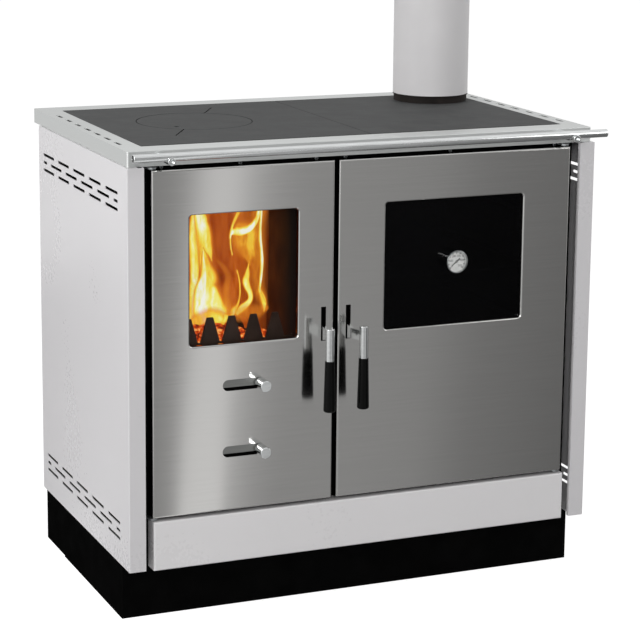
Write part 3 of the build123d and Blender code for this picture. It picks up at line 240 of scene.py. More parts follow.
def plate_joint_shadow(tree, place):
    """How much painted shadow the cooking plates get in their joints: 1 round the disc, along the seam between
    the plates and at their front edge, where the gaps' shadow is painted dark, and 0 from a millimetre or two
    away."""
    sides = add(tree, "ShaderNodeSeparateXYZ", {"Vector": place}).outputs
    disc_low, disc_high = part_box("hob_disc")
    plate_low, plate_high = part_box("cook_plate_left")
    middle = ((disc_low.x + disc_high.x) / 2, (disc_low.y + disc_high.y) / 2, 0)
    level = add(tree, "ShaderNodeVectorMath", {0: place, 1: (1, 1, 0)},
                operation="MULTIPLY").outputs["Vector"]
    out = add(tree, "ShaderNodeVectorMath", {0: level, 1: middle}, operation="DISTANCE").outputs["Value"]
    disc_gap = 0.3 * MM
    joints = []
    for value, at, reach in (
        (out, (disc_high.x - disc_low.x) / 2 + disc_gap, 1.4),
        (sides["X"], plate_high.x, 1.2),
        (sides["Y"], plate_low.y, 2.4),
    ):
        off = add(tree, "ShaderNodeMath", {0: value, 1: at}, operation="SUBTRACT").outputs["Value"]
        away = add(tree, "ShaderNodeMath", {0: off}, operation="ABSOLUTE").outputs["Value"]
        joints.append(between(tree, away, (0.5 * reach * MM, 1.0), (reach * MM, 0.0)))
    both = add(tree, "ShaderNodeMath", {0: joints[0], 1: joints[1]}, operation="MAXIMUM").outputs["Value"]
    return add(tree, "ShaderNodeMath", {0: both, 1: joints[2]}, operation="MAXIMUM").outputs["Value"]


def hob_steel():
    """Ground and heat-blued cooking plate: matte dark grey, slightly mottled, with rub marks along it, and
    painted shadow in its joints.
    """
    made, tree, shader, place = material("heat_greyed_plate_steel", {"IOR": 1.5, "Roughness": 0.62,
                                                                     "Specular IOR Level": 0.08})
    mottle = grains(tree, place, 55.0, 5.0, roughness=0.6)
    speck = grains(tree, place, 3.0, 2.0)
    rub = grains(tree, place, 4.0, 2.0, (30, 1, 1))
    both = add(tree, "ShaderNodeMath", {0: mottle, 1: between(tree, rub, (0.25, -0.06), (0.75, 0.06))},
               operation="ADD").outputs["Value"]
    dots = add(tree, "ShaderNodeMath", {0: both, 1: between(tree, speck, (0.25, -0.04), (0.75, 0.04))},
               operation="ADD").outputs["Value"]
    ground = between(tree, dots, (0.3, "#4F5050"), (0.7, "#646565"))
    # painted shadow: the plates' joints are mixed to near black for the shade in the gaps
    soot = add(tree, "ShaderNodeMix", {0: plate_joint_shadow(tree, place), 6: ground, 7: srgb("#1C1C1C")},
               data_type="RGBA")
    dress(tree, shader, {
        "Base Color": soot.outputs[2],
        "Roughness": between(tree, mottle, (0.25, 0.55), (0.75, 0.7)),
    }, relief=(speck, 0.02))
    return made


def cast_iron(name, low, high):
    """Sand-cast iron, sooted: near black and rough, with the sand's grain, drawn 2.5 mm across."""
    made, tree, shader, place = material(name, {"IOR": 1.5, "Roughness": 0.75, "Specular IOR Level": 0.2})
    sand = grains(tree, place, 2.5, 3.0)
    soot = grains(tree, place, 30.0, 4.0)
    dress(tree, shader, {
        "Base Color": between(tree, soot, (0.3, low), (0.7, high)),
        "Roughness": between(tree, sand, (0.25, 0.65), (0.75, 0.85)),
    }, relief=(sand, 0.15))
    return made


def firebrick():
    """Pressed vermiculite board: sooty brown-black by the door, paler where the fire burns the soot off."""
    made, tree, shader, place = material("sooty_vermiculite",
                                         {"IOR": 1.5, "Roughness": 0.9, "Specular IOR Level": 0.15})
    flakes = grains(tree, place, 5.0, 3.0)
    soot = grains(tree, place, 70.0, 4.0)
    burnt = between(tree, soot, (0.3, "#4A2C12"), (0.55, "#7A4E22"), (0.75, "#9A6830"))
    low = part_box("firebricks")[0]
    from_door = add(tree, "ShaderNodeSeparateXYZ", {"Vector": place}).outputs["Y"]
    near_door = between(tree, from_door, (low.y + 20 * MM, 1.0), (low.y + 170 * MM, 0.0))
    smoke = add(tree, "ShaderNodeMix", {0: near_door, 6: burnt, 7: srgb("#0E0805")}, data_type="RGBA")
    dress(tree, shader, {
        "Base Color": smoke.outputs[2],
        "Roughness": between(tree, flakes, (0.25, 0.82), (0.75, 0.95)),
    }, relief=(flakes, 0.3))
    return made


def zinc_plate():
    """Bright zinc-plated steel: pale grey with faint spangles 12 mm across and a satin shine."""
    made, tree, shader, place = material("zinc_plated_steel", {"Metallic": 1.0, "Roughness": 0.4})
    scaled = add(tree, "ShaderNodeMapping", {"Vector": place, "Scale": [1000 / 12] * 3}).outputs["Vector"]
    spangle = add(tree, "ShaderNodeTexVoronoi", {"Vector": scaled, "Scale": 1.0}).outputs["Color"]
    tone = add(tree, "ShaderNodeSeparateColor", {"Color": spangle}).outputs["Red"]
    dress(tree, shader, {
        "Base Color": between(tree, tone, (0.0, "#8F9394"), (1.0, "#A6A9AA")),
        "Roughness": between(tree, tone, (0.0, 0.34), (1.0, 0.46)),
    }, relief=(grains(tree, place, 4.0, 2.0), 0.01))
    return made


def oven_enamel():
    """Black vitreous enamel inside the oven: glossy and near black, with tiny paler specks 3 mm apart."""
    made, tree, shader, place = material("black_oven_enamel",
                                         {"IOR": 1.5, "Roughness": 0.22, "Specular IOR Level": 0.3})
    scaled = add(tree, "ShaderNodeMapping", {"Vector": place, "Scale": [1000 / 3.0] * 3}).outputs["Vector"]
    dots = add(tree, "ShaderNodeTexVoronoi", {"Vector": scaled, "Scale": 1.0}).outputs["Distance"]
    peel = grains(tree, place, 6.0, 1.0)
    dress(tree, shader, {
        "Base Color": between(tree, dots, (0.08, "#5A5C60"), (0.16, "#0B0B0C")),
        "Roughness": between(tree, peel, (0.25, 0.16), (0.75, 0.28)),
    }, relief=(peel, 0.03))
    return made


def phenolic():
    """Black moulded phenolic on the grips: glossy, with a faint moulding ripple along it and small scuffs."""
    made, tree, shader, place = material("black_phenolic", {"IOR": 1.5, "Roughness": 0.12,
                                                            "Specular IOR Level": 0.12})
    ripple = grains(tree, place, 9.0, 2.0, (1, 1, 3))
    scuffs = grains(tree, place, 2.5, 4.0)
    dress(tree, shader, {
        "Base Color": between(tree, ripple, (0.3, "#040504"), (0.7, "#080908")),
        "Roughness": between(tree, scuffs, (0.25, 0.08), (0.75, 0.16)),
    }, relief=(ripple, 0.03))
    return made


def rope():
    """Braided glass-fibre rope in the doors: matte grey-black, two strands crossing every 4 mm."""
    made, tree, shader, place = material("glass_fibre_rope", {"IOR": 1.5, "Roughness": 0.95,
                                                              "Specular IOR Level": 0.2})
    waves = []
    for turn in (math.radians(45), math.radians(-45)):
        turned = add(tree, "ShaderNodeMapping", {"Vector": place, "Rotation": (0, turn, 0)}).outputs["Vector"]
        waves.append(add(tree, "ShaderNodeTexWave", {"Vector": turned, "Scale": 78.0, "Distortion": 1.2,
                                                     "Detail": 2.0}, bands_direction="X").outputs["Fac"])
    braid = add(tree, "ShaderNodeMath", {0: waves[0], 1: waves[1]}, operation="MAXIMUM").outputs["Value"]
    dress(tree, shader, {
        "Base Color": between(tree, braid, (0.1, "#151514"), (0.9, "#47453F")),
        "Roughness": between(tree, braid, (0.0, 0.98), (1.0, 0.86)),
    }, relief=(braid, 0.7))
    return made


def fire_glass():
    """Clear heat-proof ceramic glass: nearly invisible, with a thin film of soot in cloudy patches."""
    made, tree, shader, place = material("clear_ceramic_glass", {"IOR": 1.5, "Roughness": 0.04})
    film = grains(tree, place, 70.0, 3.0)
    dress(tree, shader, {
        "Base Color": between(tree, film, (0.3, "#0A0705"), (0.8, "#140E0A")),
        "Alpha": between(tree, film, (0.25, 0.05), (0.75, 0.11)),
    })
    return made


def smoked_glass():
    """Dark heat-proof glass in the oven door: lets through little of the oven's inside, with a faint haze."""
    made, tree, shader, place = material("smoked_oven_glass",
                                         {"IOR": 1.5, "Roughness": 0.05, "Specular IOR Level": 0.08})
    film = grains(tree, place, 110.0, 3.0)
    dress(tree, shader, {
        "Base Color": between(tree, film, (0.3, "#030304"), (0.8, "#060607")),
        "Alpha": between(tree, film, (0.25, 0.76), (0.75, 0.84)),
    })
    return made


def dial_lens():
    """Thin clear lens on the thermometer, with a faint film."""
    made, tree, shader, place = material("dial_lens_glass", {"IOR": 1.5, "Roughness": 0.03})
    film = grains(tree, place, 8.0, 2.0)
    dress(tree, shader, {
        "Base Color": between(tree, film, (0.3, "#D8DADA"), (0.8, "#E6E8E8")),
        "Alpha": between(tree, film, (0.25, 0.04), (0.75, 0.09)),
    })
    return made


def dial_white():
    """Printed white dial: matte paint on metal, very slightly uneven."""
    made, tree, shader, place = material("matte_white_dial_paint", {"IOR": 1.5, "Roughness": 0.6})
    cloud = grains(tree, place, 9.0, 2.0)
    dress(tree, shader, {
        "Base Color": between(tree, cloud, (0.3, "#F4F4F2"), (0.7, "#FCFCFA")),
    }, relief=(grains(tree, place, 1.0, 1.0), 0.01))
    return made


def recess_shade_and_print_finish():
    """Black print on the dial, and painted shade in the screws' cross recesses: matte, with small uneven
    patches.
    """
    made, tree, shader, place = material("print_and_painted_recess_shade", {"IOR": 1.5, "Roughness": 0.6,
                                                         "Specular IOR Level": 0.25})
    cloud = grains(tree, place, 2.0, 2.0)
    dress(tree, shader, {
        "Base Color": between(tree, cloud, (0.3, "#0A0A0A"), (0.7, "#151515")),
    }, relief=(cloud, 0.01))
    return made


def charred_wood():
    """Split beech, charred: black cracked bark with ash-grey edges and a red glow deep in its cracks."""
    made, tree, shader, place = material("charred_beech", {
        "IOR": 1.5, "Roughness": 0.95, "Specular IOR Level": 0.15, "Emission Strength": 1.0})
    scaled = add(tree, "ShaderNodeMapping", {"Vector": place, "Scale": (55, 55, 90)}).outputs["Vector"]
    cracks = add(tree, "ShaderNodeTexVoronoi", {"Vector": scaled, "Scale": 1.0}, feature="DISTANCE_TO_EDGE")
    edge = cracks.outputs["Distance"]
    heat = grains(tree, place, 28.0, 2.0)
    deep = between(tree, edge, (0.0, 1.0), (0.09, 0.0))
    glow = add(tree, "ShaderNodeMath", {0: deep, 1: between(tree, heat, (0.45, 0.0), (0.62, 1.0))},
               operation="MULTIPLY")
    dress(tree, shader, {
        "Base Color": between(tree, edge, (0.0, "#1C100A"), (0.08, "#2E2723"), (0.3, "#171210")),
        "Emission Color": between(tree, glow.outputs["Value"], (0.0, "#000000"), (0.5, "#8A2206"),
                                  (1.0, "#FF7A22")),
    }, relief=(between(tree, edge, (0.0, 0.0), (0.25, 1.0)), 1.2))
    return made


def embers_finish():
    """Glowing charcoal: ash-dark crusts 9 mm across with orange-red heat between and under them."""
    made, tree, shader, place = material("glowing_charcoal", {
        "IOR": 1.5, "Roughness": 0.95, "Specular IOR Level": 0.1, "Emission Strength": 1.0})
    crust = grains(tree, place, 9.0, 4.0, roughness=0.65)
    dress(tree, shader, {
        "Base Color": between(tree, crust, (0.35, "#0E0705"), (0.7, "#2B1A12")),
        "Emission Color": between(tree, crust, (0.36, "#FFC46A"), (0.44, "#F2661A"), (0.52, "#B02C08"),
                                  (0.6, "#3A0D03"), (0.68, "#120402")),
    }, relief=(crust, 1.0))
    return made


def flame_finish():
    """Flame: soft tongues, orange at the edge, then yellow, and white in the hottest core, torn by wisps. It
    gives light and has no surface. How hot it is comes from the sheets' flame_heat."""
    made, tree, shader, place = material("wood_flame", {
        "Roughness": 1.0, "Specular IOR Level": 0.0, "Base Color": (0, 0, 0, 1), "Emission Strength": 1.0})
    heat = add(tree, "ShaderNodeAttribute", attribute_name="flame_heat").outputs["Fac"]
    wisps = grains(tree, place, 16.0, 3.0, (1, 1, 2.6), distortion=0.8)
    streaks = grains(tree, place, 5.0, 2.0, (1, 1, 5))
    torn = add(tree, "ShaderNodeMath", {0: heat, 1: between(tree, wisps, (0.25, 0.72), (0.75, 1.24))},
               operation="MULTIPLY").outputs["Value"]
    hot = add(tree, "ShaderNodeMath", {0: torn, 1: between(tree, streaks, (0.25, 0.9), (0.75, 1.08))},
              operation="MULTIPLY").outputs["Value"]
    dress(tree, shader, {
        "Emission Color": between(tree, hot, (0.0, "#EA862A"), (0.25, "#EC8626"), (0.38, "#F49C2A"),
                                  (0.5, "#FBC03A"), (0.64, "#FBE452"), (0.8, "#FDF790"), (0.95, "#FFFFF0")),
        "Alpha": between(tree, hot, (0.03, 0.0), (0.5, 1.0)),
    })
    return made


def curtain_finish():
    """The fire's body behind the tongues: rolling orange and brown-red gas, streaked upwards. It gives light
    and has no surface."""
    made, tree, shader, place = material("orange_fire_body", {
        "Roughness": 1.0, "Specular IOR Level": 0.0, "Base Color": (0, 0, 0, 1), "Emission Strength": 1.0})
    uv = add(tree, "ShaderNodeUVMap", uv_map="tongue").outputs["UV"]
    across = add(tree, "ShaderNodeSeparateXYZ", {"Vector": uv})
    rolls = grains(tree, place, 34.0, 3.0, (1, 1, 3.2), distortion=1.0)
    streaks = grains(tree, place, 9.0, 2.0, (1, 1, 6))
    both = add(tree, "ShaderNodeMath", {0: rolls, 1: between(tree, streaks, (0.25, -0.09), (0.75, 0.09))},
               operation="ADD").outputs["Value"]
    rim = add(tree, "ShaderNodeMath", {0: across.outputs["X"],
                                       1: between(tree, rolls, (0.25, -0.08), (0.75, 0.08))},
              operation="ADD").outputs["Value"]
    left = between(tree, rim, (0.0, 0.0), (0.08, 1.0))
    right = between(tree, rim, (0.66, 1.0), (0.94, 0.0))
    top = between(tree, across.outputs["Y"], (0.86, 1.0), (1.0, 0.0))
    sides = add(tree, "ShaderNodeMath", {0: left, 1: right}, operation="MULTIPLY").outputs["Value"]
    veil = add(tree, "ShaderNodeMath", {0: sides, 1: top}, operation="MULTIPLY").outputs["Value"]
    dress(tree, shader, {
        "Emission Color": between(tree, both, (0.28, "#7E2E08"), (0.42, "#A5440F"), (0.55, "#BE5A18"),
                                  (0.68, "#D87326"), (0.82, "#EE9440")),
        "Alpha": add(tree, "ShaderNodeMath", {0: veil, 1: 0.97}, operation="MULTIPLY").outputs["Value"],
    })
    return made


# by the slot that the record gives each node, and for single nodes that look unlike the rest of their slot
finishes = {
    "white_enamel": white_enamel("white_stove_enamel", "#E6E4E6", "#E9E7E9"),
    "stainless": stainless_sheet(),
    "polished_steel": polished_steel("polished_stainless", "#D6D8D8", "#E2E4E4"),
    "black_paint": black_coat(),
    "hob_grey": hob_steel(),
    "cast_iron": cast_iron("sooted_cast_iron", "#161210", "#2B2523"),
    "pipe_enamel": pipe_enamel(),
    "glass": fire_glass(),
    "rope": rope(),
    "firebrick": firebrick(),
    "black_grip": phenolic(),
    "zinc": zinc_plate(),
    "oven_enamel": oven_enamel(),
    "white_dial": dial_white(),
}
special = {
    "top_frame": stainless_frame(),
    # painted light: the drawer's enamel is lighter than the sides', for the extra light on the drawer
    "drawer_front": white_enamel("white_enamel_painted_brighter_drawer", "#F3F1F2", "#F6F4F5"),
    "upper_air_shutter": shutter_steel(),
    "lower_air_shutter": shutter_steel(),
    "thermometer_case": thermometer_steel(),
    # painted light: the guard's iron is browner and paler than the rest, for the fire's glow on it
    "log_guard": cast_iron("cast_iron_with_painted_fire_glow", "#2E2018", "#463329"),
    "oven_door_glass": smoked_glass(),
    "thermometer_lens": dial_lens(),
}
slot_of = {row["node"]: row["material_slot"] for row in frame["record"]["subparts"]}
for name, solid in nodes.items():
    finish = special.get(name, finishes[slot_of[name]])
    for place in solid.material_slots:
        place.material = finish

# ------------------------------------------------------------------ where things are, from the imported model
door_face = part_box("fire_door_skin")[0].y
top_front = door_face + 10 * MM
guard_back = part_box("log_guard")[1].y
grate_low, grate_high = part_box("fire_grate")


# ------------------------------------------------------------------ the fire
def smooth_path(points, steps):
    """Points along a smooth line through the given ones, each a tuple of numbers."""
    path = []
    padded = [points[0], *points, points[-1]]
    for i in range(1, len(padded) - 2):
        a, b, c, d = padded[i - 1:i + 3]
        for k in range(steps):
            t = k / steps
            path.append(tuple(0.5 * (2 * q + (r - p) * t + (2 * p - 5 * q + 4 * r - s) * t * t
                                     + (3 * q - p - 3 * r + s) * t ** 3) for p, q, r, s in zip(a, b, c, d)))
    path.append(points[-1])
    return path


# a flame sheet's grid and its thinnest tongue, in millimetres, and where a tongue's full heat and its last
# heat end, in half widths
FLAME_STEP = 1.5
FLAME_LEAST_HALF_WIDTH = 1.5
FLAME_CORE = 0.4
FLAME_REACH = 1.45


def tongue_heat(heat, points):
    """How hot one tongue makes the places near it, on a grid: hottest along a line of (x, z, half width)."""
    step = FLAME_STEP
    own = {}
    line = smooth_path(points, 6)
    for (x0, z0, half0), (x1, z1, half1) in zip(line, line[1:]):
        reach = FLAME_REACH * max(half0, half1, FLAME_LEAST_HALF_WIDTH)
        along = Vector((x1 - x0, z1 - z0))
        span = max(along.length_squared, 1e-6)
        for i in range(int((min(x0, x1) - reach) // step), int((max(x0, x1) + reach) // step) + 2):
            for j in range(int((min(z0, z1) - reach) // step), int((max(z0, z1) + reach) // step) + 2):
                off = Vector((i * step - x0, j * step - z0))
                t = min(max(off.dot(along) / span, 0.0), 1.0)
                half = max(half0 + (half1 - half0) * t, FLAME_LEAST_HALF_WIDTH)
                out = (off - along * t).length / half
                near = min(max((FLAME_REACH - out) / (FLAME_REACH - FLAME_CORE), 0.0), 1.0)
                own[(i, j)] = max(heat * near * near * (3 - 2 * near), own.get((i, j), 0.0))
    return own


def flame_sheet(shape, heat_layer, tongues):
    """A rippled sheet of flame through tongues of (depth behind the top frame's front, heat, line)."""
    hot = {}
    for depth, heat, points in tongues:
        for spot, value in tongue_heat(heat, points).items():
            cold, deep, share = hot.get(spot, (1.0, 0.0, 0.0))
            weight = value + 0.001
            hot[spot] = (cold * (1 - min(value, 0.97)), deep + depth * weight, share + weight)
    verts = {}
    for (i, j), (cold, deep, share) in hot.items():
        x, z = i * FLAME_STEP, j * FLAME_STEP
        ripple = 3 * math.sin(x / 9) + 3 * math.sin(z / 17)
        vert = shape.verts.new((x * MM, top_front + (deep / share + ripple) * MM, z * MM))
        vert[heat_layer] = 1 - cold
        verts[(i, j)] = vert
    for i, j in verts:
        corners = [verts.get(spot) for spot in ((i, j), (i + 1, j), (i + 1, j + 1), (i, j + 1))]
        if None not in corners and max(vert[heat_layer] for vert in corners) > 0.01:
            shape.faces.new(corners)


# each tongue's depth behind the top frame's front, its heat, and its line of (x, z, half width), in
# millimetres
TONGUES = (
    (120, 0.74, [(-287, 500, 14), (-287, 526, 14.7), (-286, 562, 12), (-286, 599, 10), (-286, 636, 11),
                 (-285, 673, 12), (-283, 714, 12), (-282, 745, 6)]),
    (100, 0.56, [(-288, 738, 8), (-282, 705, 12), (-277, 672, 13), (-275, 648, 12), (-276, 622, 10),
                 (-280, 600, 4)]),
    (118, 0.25, [(-289, 540, 1), (-289, 562, 2.2), (-289, 600, 2.4), (-289, 637, 3.5), (-289, 674, 4),
                 (-288, 714, 3), (-287, 735, 1)]),
    (80, 0.66, [(-271, 505, 34), (-271, 533, 34.1), (-271, 550, 29.2), (-274, 569, 23.8), (-277, 587, 19.4),
                (-275, 600, 18.4), (-277, 617, 13.1), (-279, 635, 8.2), (-282, 650, 3.3), (-283, 656, 0.4)]),
    (74, 1.15, [(-285, 515, 5), (-286, 534, 8.7), (-287, 552, 14.5), (-289, 571, 13.5), (-289, 589, 10.1),
                (-285, 608, 5.4), (-284, 626, 3.3), (-285, 644, 1.5), (-285, 652, 0.3)]),
    (72, 0.60, [(-255, 520, 10), (-255, 535, 12.7), (-257, 550, 10.7), (-261, 565, 8.8), (-263, 579, 4.9),
                (-264, 585, 0.4)]),
    (105, 0.68, [(-289, 742, 6), (-284, 720, 10.6), (-277, 699, 12.6), (-269, 680, 11.2), (-265, 663, 9.2),
                 (-262, 648, 6.4), (-260, 635, 2.9), (-259, 628, 0.3)]),
    (100, 0.30, [(-277, 646, 0.6), (-275, 661, 2.5), (-274, 676, 2.9), (-277, 694, 2.3), (-279, 711, 1.0)]),
    (95, 0.84, [(-171, 735, 1.0), (-174, 716, 3.0), (-176, 703, 4.1), (-182, 691, 4.9), (-191, 681, 5.5),
                (-204, 677, 6.3), (-215, 678, 6.1), (-222, 675, 2.9), (-224, 668, 1.2)]),
    (98, 0.60, [(-203, 735, 2), (-209, 716, 3.9), (-217, 698, 3.9), (-222, 682, 2.9), (-223, 667, 2.3),
                (-223, 652, 1.8), (-221, 637, 0.3)]),
    (104, 0.38, [(-205, 690, 4), (-203, 683, 14), (-200, 670, 22), (-199, 657, 21), (-196, 644, 15.5),
                 (-192, 631, 7), (-190, 617, 0.4)]),
    (92, 0.80, [(-168, 738, 1), (-168, 716, 2.2), (-168, 689, 2.0), (-167, 661, 2.6), (-166, 633, 3.0),
                (-167, 605, 2.8), (-168, 581, 2.2), (-169, 566, 1.2)]),
    (97, 0.30, [(-173, 740, 12), (-173, 716, 18.7), (-174, 688, 17.7), (-173, 660, 16.8), (-174, 632, 16.8),
                (-175, 604, 15.9), (-171, 576, 12.9), (-163, 553, 11.0), (-157, 534, 6.0)]),
    (90, 0.45, [(-171, 577, 1.2), (-168, 566, 3.6), (-162, 552, 5.2), (-160, 541, 4.4), (-162, 530, 2.0)]),
    (78, 0.74, [(-199, 623, 0.6), (-201, 606, 4.5), (-203, 593, 6.3), (-199, 580, 5.5), (-194, 568, 4.5),
                (-194, 557, 4.3), (-201, 548, 5.5), (-210, 541, 6.9), (-218, 534, 4.9)]),
    (70, 0.60, [(-224, 615, 0.8), (-219, 598, 1.6), (-216, 581, 1.8), (-216, 564, 2.0), (-220, 551, 2.7),
                (-227, 536, 3.3), (-232, 524, 1)]),
    (84, 0.22, [(-194, 629, 2.0), (-187, 610, 2.2), (-180, 590, 2.0), (-173, 573, 1.8), (-166, 559, 1.4),
                (-161, 548, 0.6)]),
    (88, 0.26, [(-255, 632, 1.9), (-242, 617, 4.9), (-235, 601, 5.9), (-237, 583, 6.9), (-235, 562, 7.8),
                (-232, 541, 8.8), (-232, 520, 6)]),
    (66, 0.48, [(-318, 508, 3), (-309, 521, 6), (-301, 530, 11.6), (-283, 534, 14.5), (-262, 533, 14.6),
                (-246, 532, 5.9)]),
    (64, 0.28, [(-249, 526, 3.9), (-232, 534, 11.7), (-208, 537, 14.7), (-185, 539, 11.8), (-167, 543, 4.0)]),
    (60, 0.45, [(-267, 535, 5.8), (-260, 527, 8.8), (-255, 517, 5.8), (-251, 506, 2.0)]),
)
# the depths whose tongues lie together in one sheet, the rearmost sheet first
SHEET_DEPTHS = ((110, 130), (90, 110), (70, 90), (50, 70))


def flames():
    """The tongues of flame that rise from the embers behind the log guard, in sheets one behind the other."""
    shape = bmesh.new()
    heat_layer = shape.verts.layers.float.new("flame_heat")
    for near, far in SHEET_DEPTHS:
        flame_sheet(shape, heat_layer, [row for row in TONGUES if near <= row[0] < far])
    bmesh.ops.delete(shape, geom=[vert for vert in shape.verts if not vert.link_faces], context="VERTS")
    mesh = bpy.data.meshes.new("flames")
    shape.to_mesh(mesh)
    shape.free()
    mesh.polygons.foreach_set("use_smooth", [True] * len(mesh.polygons))
    made = piece("flames", mesh, "root", "flame", flame_finish())
    made.visible_glossy = False
    return made


def fire_body():
    """A bowed, rippled sheet of orange gas across the firebox, behind the tongues. Sizes in millimetres."""
    left, right, bottom, top = -362, -96, 476, 772
    depth, bow, ripple = 168, 26, 7
    across, up = 26, 30
    shape = bmesh.new()
    uv_layer = shape.loops.layers.uv.new("tongue")
    grid = []
    for j in range(up + 1):
        row = []
        for i in range(across + 1):
            u, v = i / across, j / up
            forward = bow * math.sin(math.pi * u) + ripple * math.sin(6.3 * u + 4.1 * v)
            row.append(shape.verts.new(((left + (right - left) * u) * MM, top_front + (depth - forward) * MM,
                                        (bottom + (top - bottom) * v) * MM)))
        grid.append(row)
    for j in range(up):
        for i in range(across):
            face = shape.faces.new((grid[j][i], grid[j][i + 1], grid[j + 1][i + 1], grid[j + 1][i]))
            for loop, (p, q) in zip(face.loops, ((i, j), (i + 1, j), (i + 1, j + 1), (i, j + 1))):
                loop[uv_layer].uv = (p / across, q / up)
    mesh = bpy.data.meshes.new("fire_body")
    shape.to_mesh(mesh)
    shape.free()
    mesh.polygons.foreach_set("use_smooth", [True] * len(mesh.polygons))
    made = piece("fire_body", mesh, "root", "flame", curtain_finish())
    made.visible_glossy = False
    return made


def logs():
    """Three split logs burning on the grate, behind the guard. Each lies between two points of (x, depth
    behind the top frame's front, height over the ember bed), with a radius, in millimetres, and a seed."""
    lays = (
        ((-300, 262, 34), (-180, 240, 34), 31, 3),
        ((-215, 330, 20), (-205, 110, 4), 29, 11),
        ((-330, 200, 62), (-172, 212, 68), 27, 23),
    )
    bed = grate_high.z + 8 * MM
    turns, rings = 22, 30
    shape = bmesh.new()
    for start, end, radius, seed in lays:
        a = Vector((start[0] * MM, top_front + start[1] * MM, bed + start[2] * MM))
        b = Vector((end[0] * MM, top_front + end[1] * MM, bed + end[2] * MM))
        axis = (b - a).normalized()
        side = axis.cross(Vector((0, 0, 1))).normalized()
        rise = side.cross(axis)
        loops = []
        for i in range(rings + 1):
            t = i / rings
            middle = a.lerp(b, t)
            loop = []
            for k in range(turns):
                angle = 2 * math.pi * k / turns
                flat = 0.72 if math.sin(angle + seed) > 0.55 else 1.0
                spot = Vector((math.cos(angle), math.sin(angle), t * 5 + seed))
                rough = 1 + 0.16 * noise.noise(spot * 1.7) + 0.06 * noise.noise(spot * 6)
                reach = radius * MM * flat * rough * (0.9 if i in (0, rings) else 1.0)
                out = side * math.cos(angle) * reach + rise * math.sin(angle) * reach
                loop.append(shape.verts.new(middle + out))
            loops.append(loop)
        for lower, upper in zip(loops, loops[1:]):
            for k in range(turns):
                n = (k + 1) % turns
                shape.faces.new((lower[k], lower[n], upper[n], upper[k]))
        shape.faces.new(loops[0][::-1])
        shape.faces.new(loops[-1])
    bmesh.ops.recalc_face_normals(shape, faces=shape.faces)
    mesh = bpy.data.meshes.new("burning_logs")
    shape.to_mesh(mesh)
    shape.free()
    return piece("burning_logs", mesh, "root", "firewood", charred_wood())


# ------------------------------------------------------------------ pieces grown by node trees
def grow(name, tree, mesh, values, body, slot):
    """Runs a geometry node tree on a mesh with the given inputs, and keeps what it makes as a plain mesh."""
    seedling = bpy.data.objects.new(name, mesh)
    bpy.context.scene.collection.objects.link(seedling)
    modifier = seedling.modifiers.new("tree", "NODES")
    modifier.node_group = tree
    for item in tree.interface.items_tree:
        if item.item_type == "SOCKET" and item.in_out == "INPUT" and item.name in values:
            modifier[item.identifier] = values[item.name]
    bpy.context.view_layer.update()
    graph = bpy.context.evaluated_depsgraph_get()
    grown = bpy.data.meshes.new_from_object(seedling.evaluated_get(graph))
    bpy.data.objects.remove(seedling)
    grown.name = name
    return piece(name, grown, body, slot)


def node_tree(name, *inputs):
    """A geometry tree with named inputs, each a (name, kind, default), and its input and output nodes."""
    tree = bpy.data.node_groups.new(name, "GeometryNodeTree")
    tree.interface.new_socket("Geometry", in_out="INPUT", socket_type="NodeSocketGeometry")
    for title, kind, default in inputs:
        socket = tree.interface.new_socket(title, in_out="INPUT", socket_type=f"NodeSocket{kind}")
        if default is not None:
            socket.default_value = default
    tree.interface.new_socket("Geometry", in_out="OUTPUT", socket_type="NodeSocketGeometry")
    return tree, add(tree, "NodeGroupInput").outputs, add(tree, "NodeGroupOutput")


def ember_tree():
    """Lumps of charcoal strewn over the grate, each turned, sized and roughened by chance."""
    tree, given, out = node_tree("ember_bed", ("Spacing", "Float", 0.008), ("Lump", "Float", 0.009),
                                 ("Seed", "Int", 4), ("Finish", "Material", None))
    spots = add(tree, "GeometryNodeDistributePointsOnFaces", {
        "Mesh": given["Geometry"], "Distance Min": given["Spacing"], "Density Max": 30000.0,
        "Seed": given["Seed"]}, distribute_method="POISSON")
    lump = add(tree, "GeometryNodeMeshIcoSphere", {"Radius": given["Lump"], "Subdivisions": 2})
    full_turn = 6.28
    smallest, largest = 0.55, 1.25
    dents_per_metre = 110.0
    dent_depth = 12 * MM
    turn = add(tree, "FunctionNodeRandomValue", {
        "Min": (0, 0, 0), "Max": [full_turn] * 3, "Seed": given["Seed"]}, data_type="FLOAT_VECTOR")
    size = add(tree, "FunctionNodeRandomValue", {2: smallest, 3: largest, "Seed": given["Seed"]},
               data_type="FLOAT")
    strewn = add(tree, "GeometryNodeInstanceOnPoints", {
        "Points": spots.outputs["Points"], "Instance": lump.outputs["Mesh"],
        "Rotation": turn.outputs["Value"], "Scale": size.outputs[1]})
    real = add(tree, "GeometryNodeRealizeInstances", {"Geometry": strewn.outputs["Instances"]})
    dents = add(tree, "ShaderNodeTexNoise", {"Scale": dents_per_metre, "Detail": 2.0})
    push = add(tree, "ShaderNodeVectorMath", {0: dents.outputs["Color"], 1: (0.5, 0.5, 0.5)},
               operation="SUBTRACT")
    shove = add(tree, "ShaderNodeVectorMath", {0: push.outputs["Vector"], "Scale": dent_depth},
                operation="SCALE")
    broken = add(tree, "GeometryNodeSetPosition", {"Geometry": real.outputs["Geometry"],
                                                   "Offset": shove.outputs["Vector"]})
    set_finish = add(tree, "GeometryNodeSetMaterial", {"Geometry": broken.outputs["Geometry"],
                                                       "Material": given["Finish"]})
    tree.links.new(set_finish.outputs["Geometry"], out.inputs["Geometry"])
    return tree


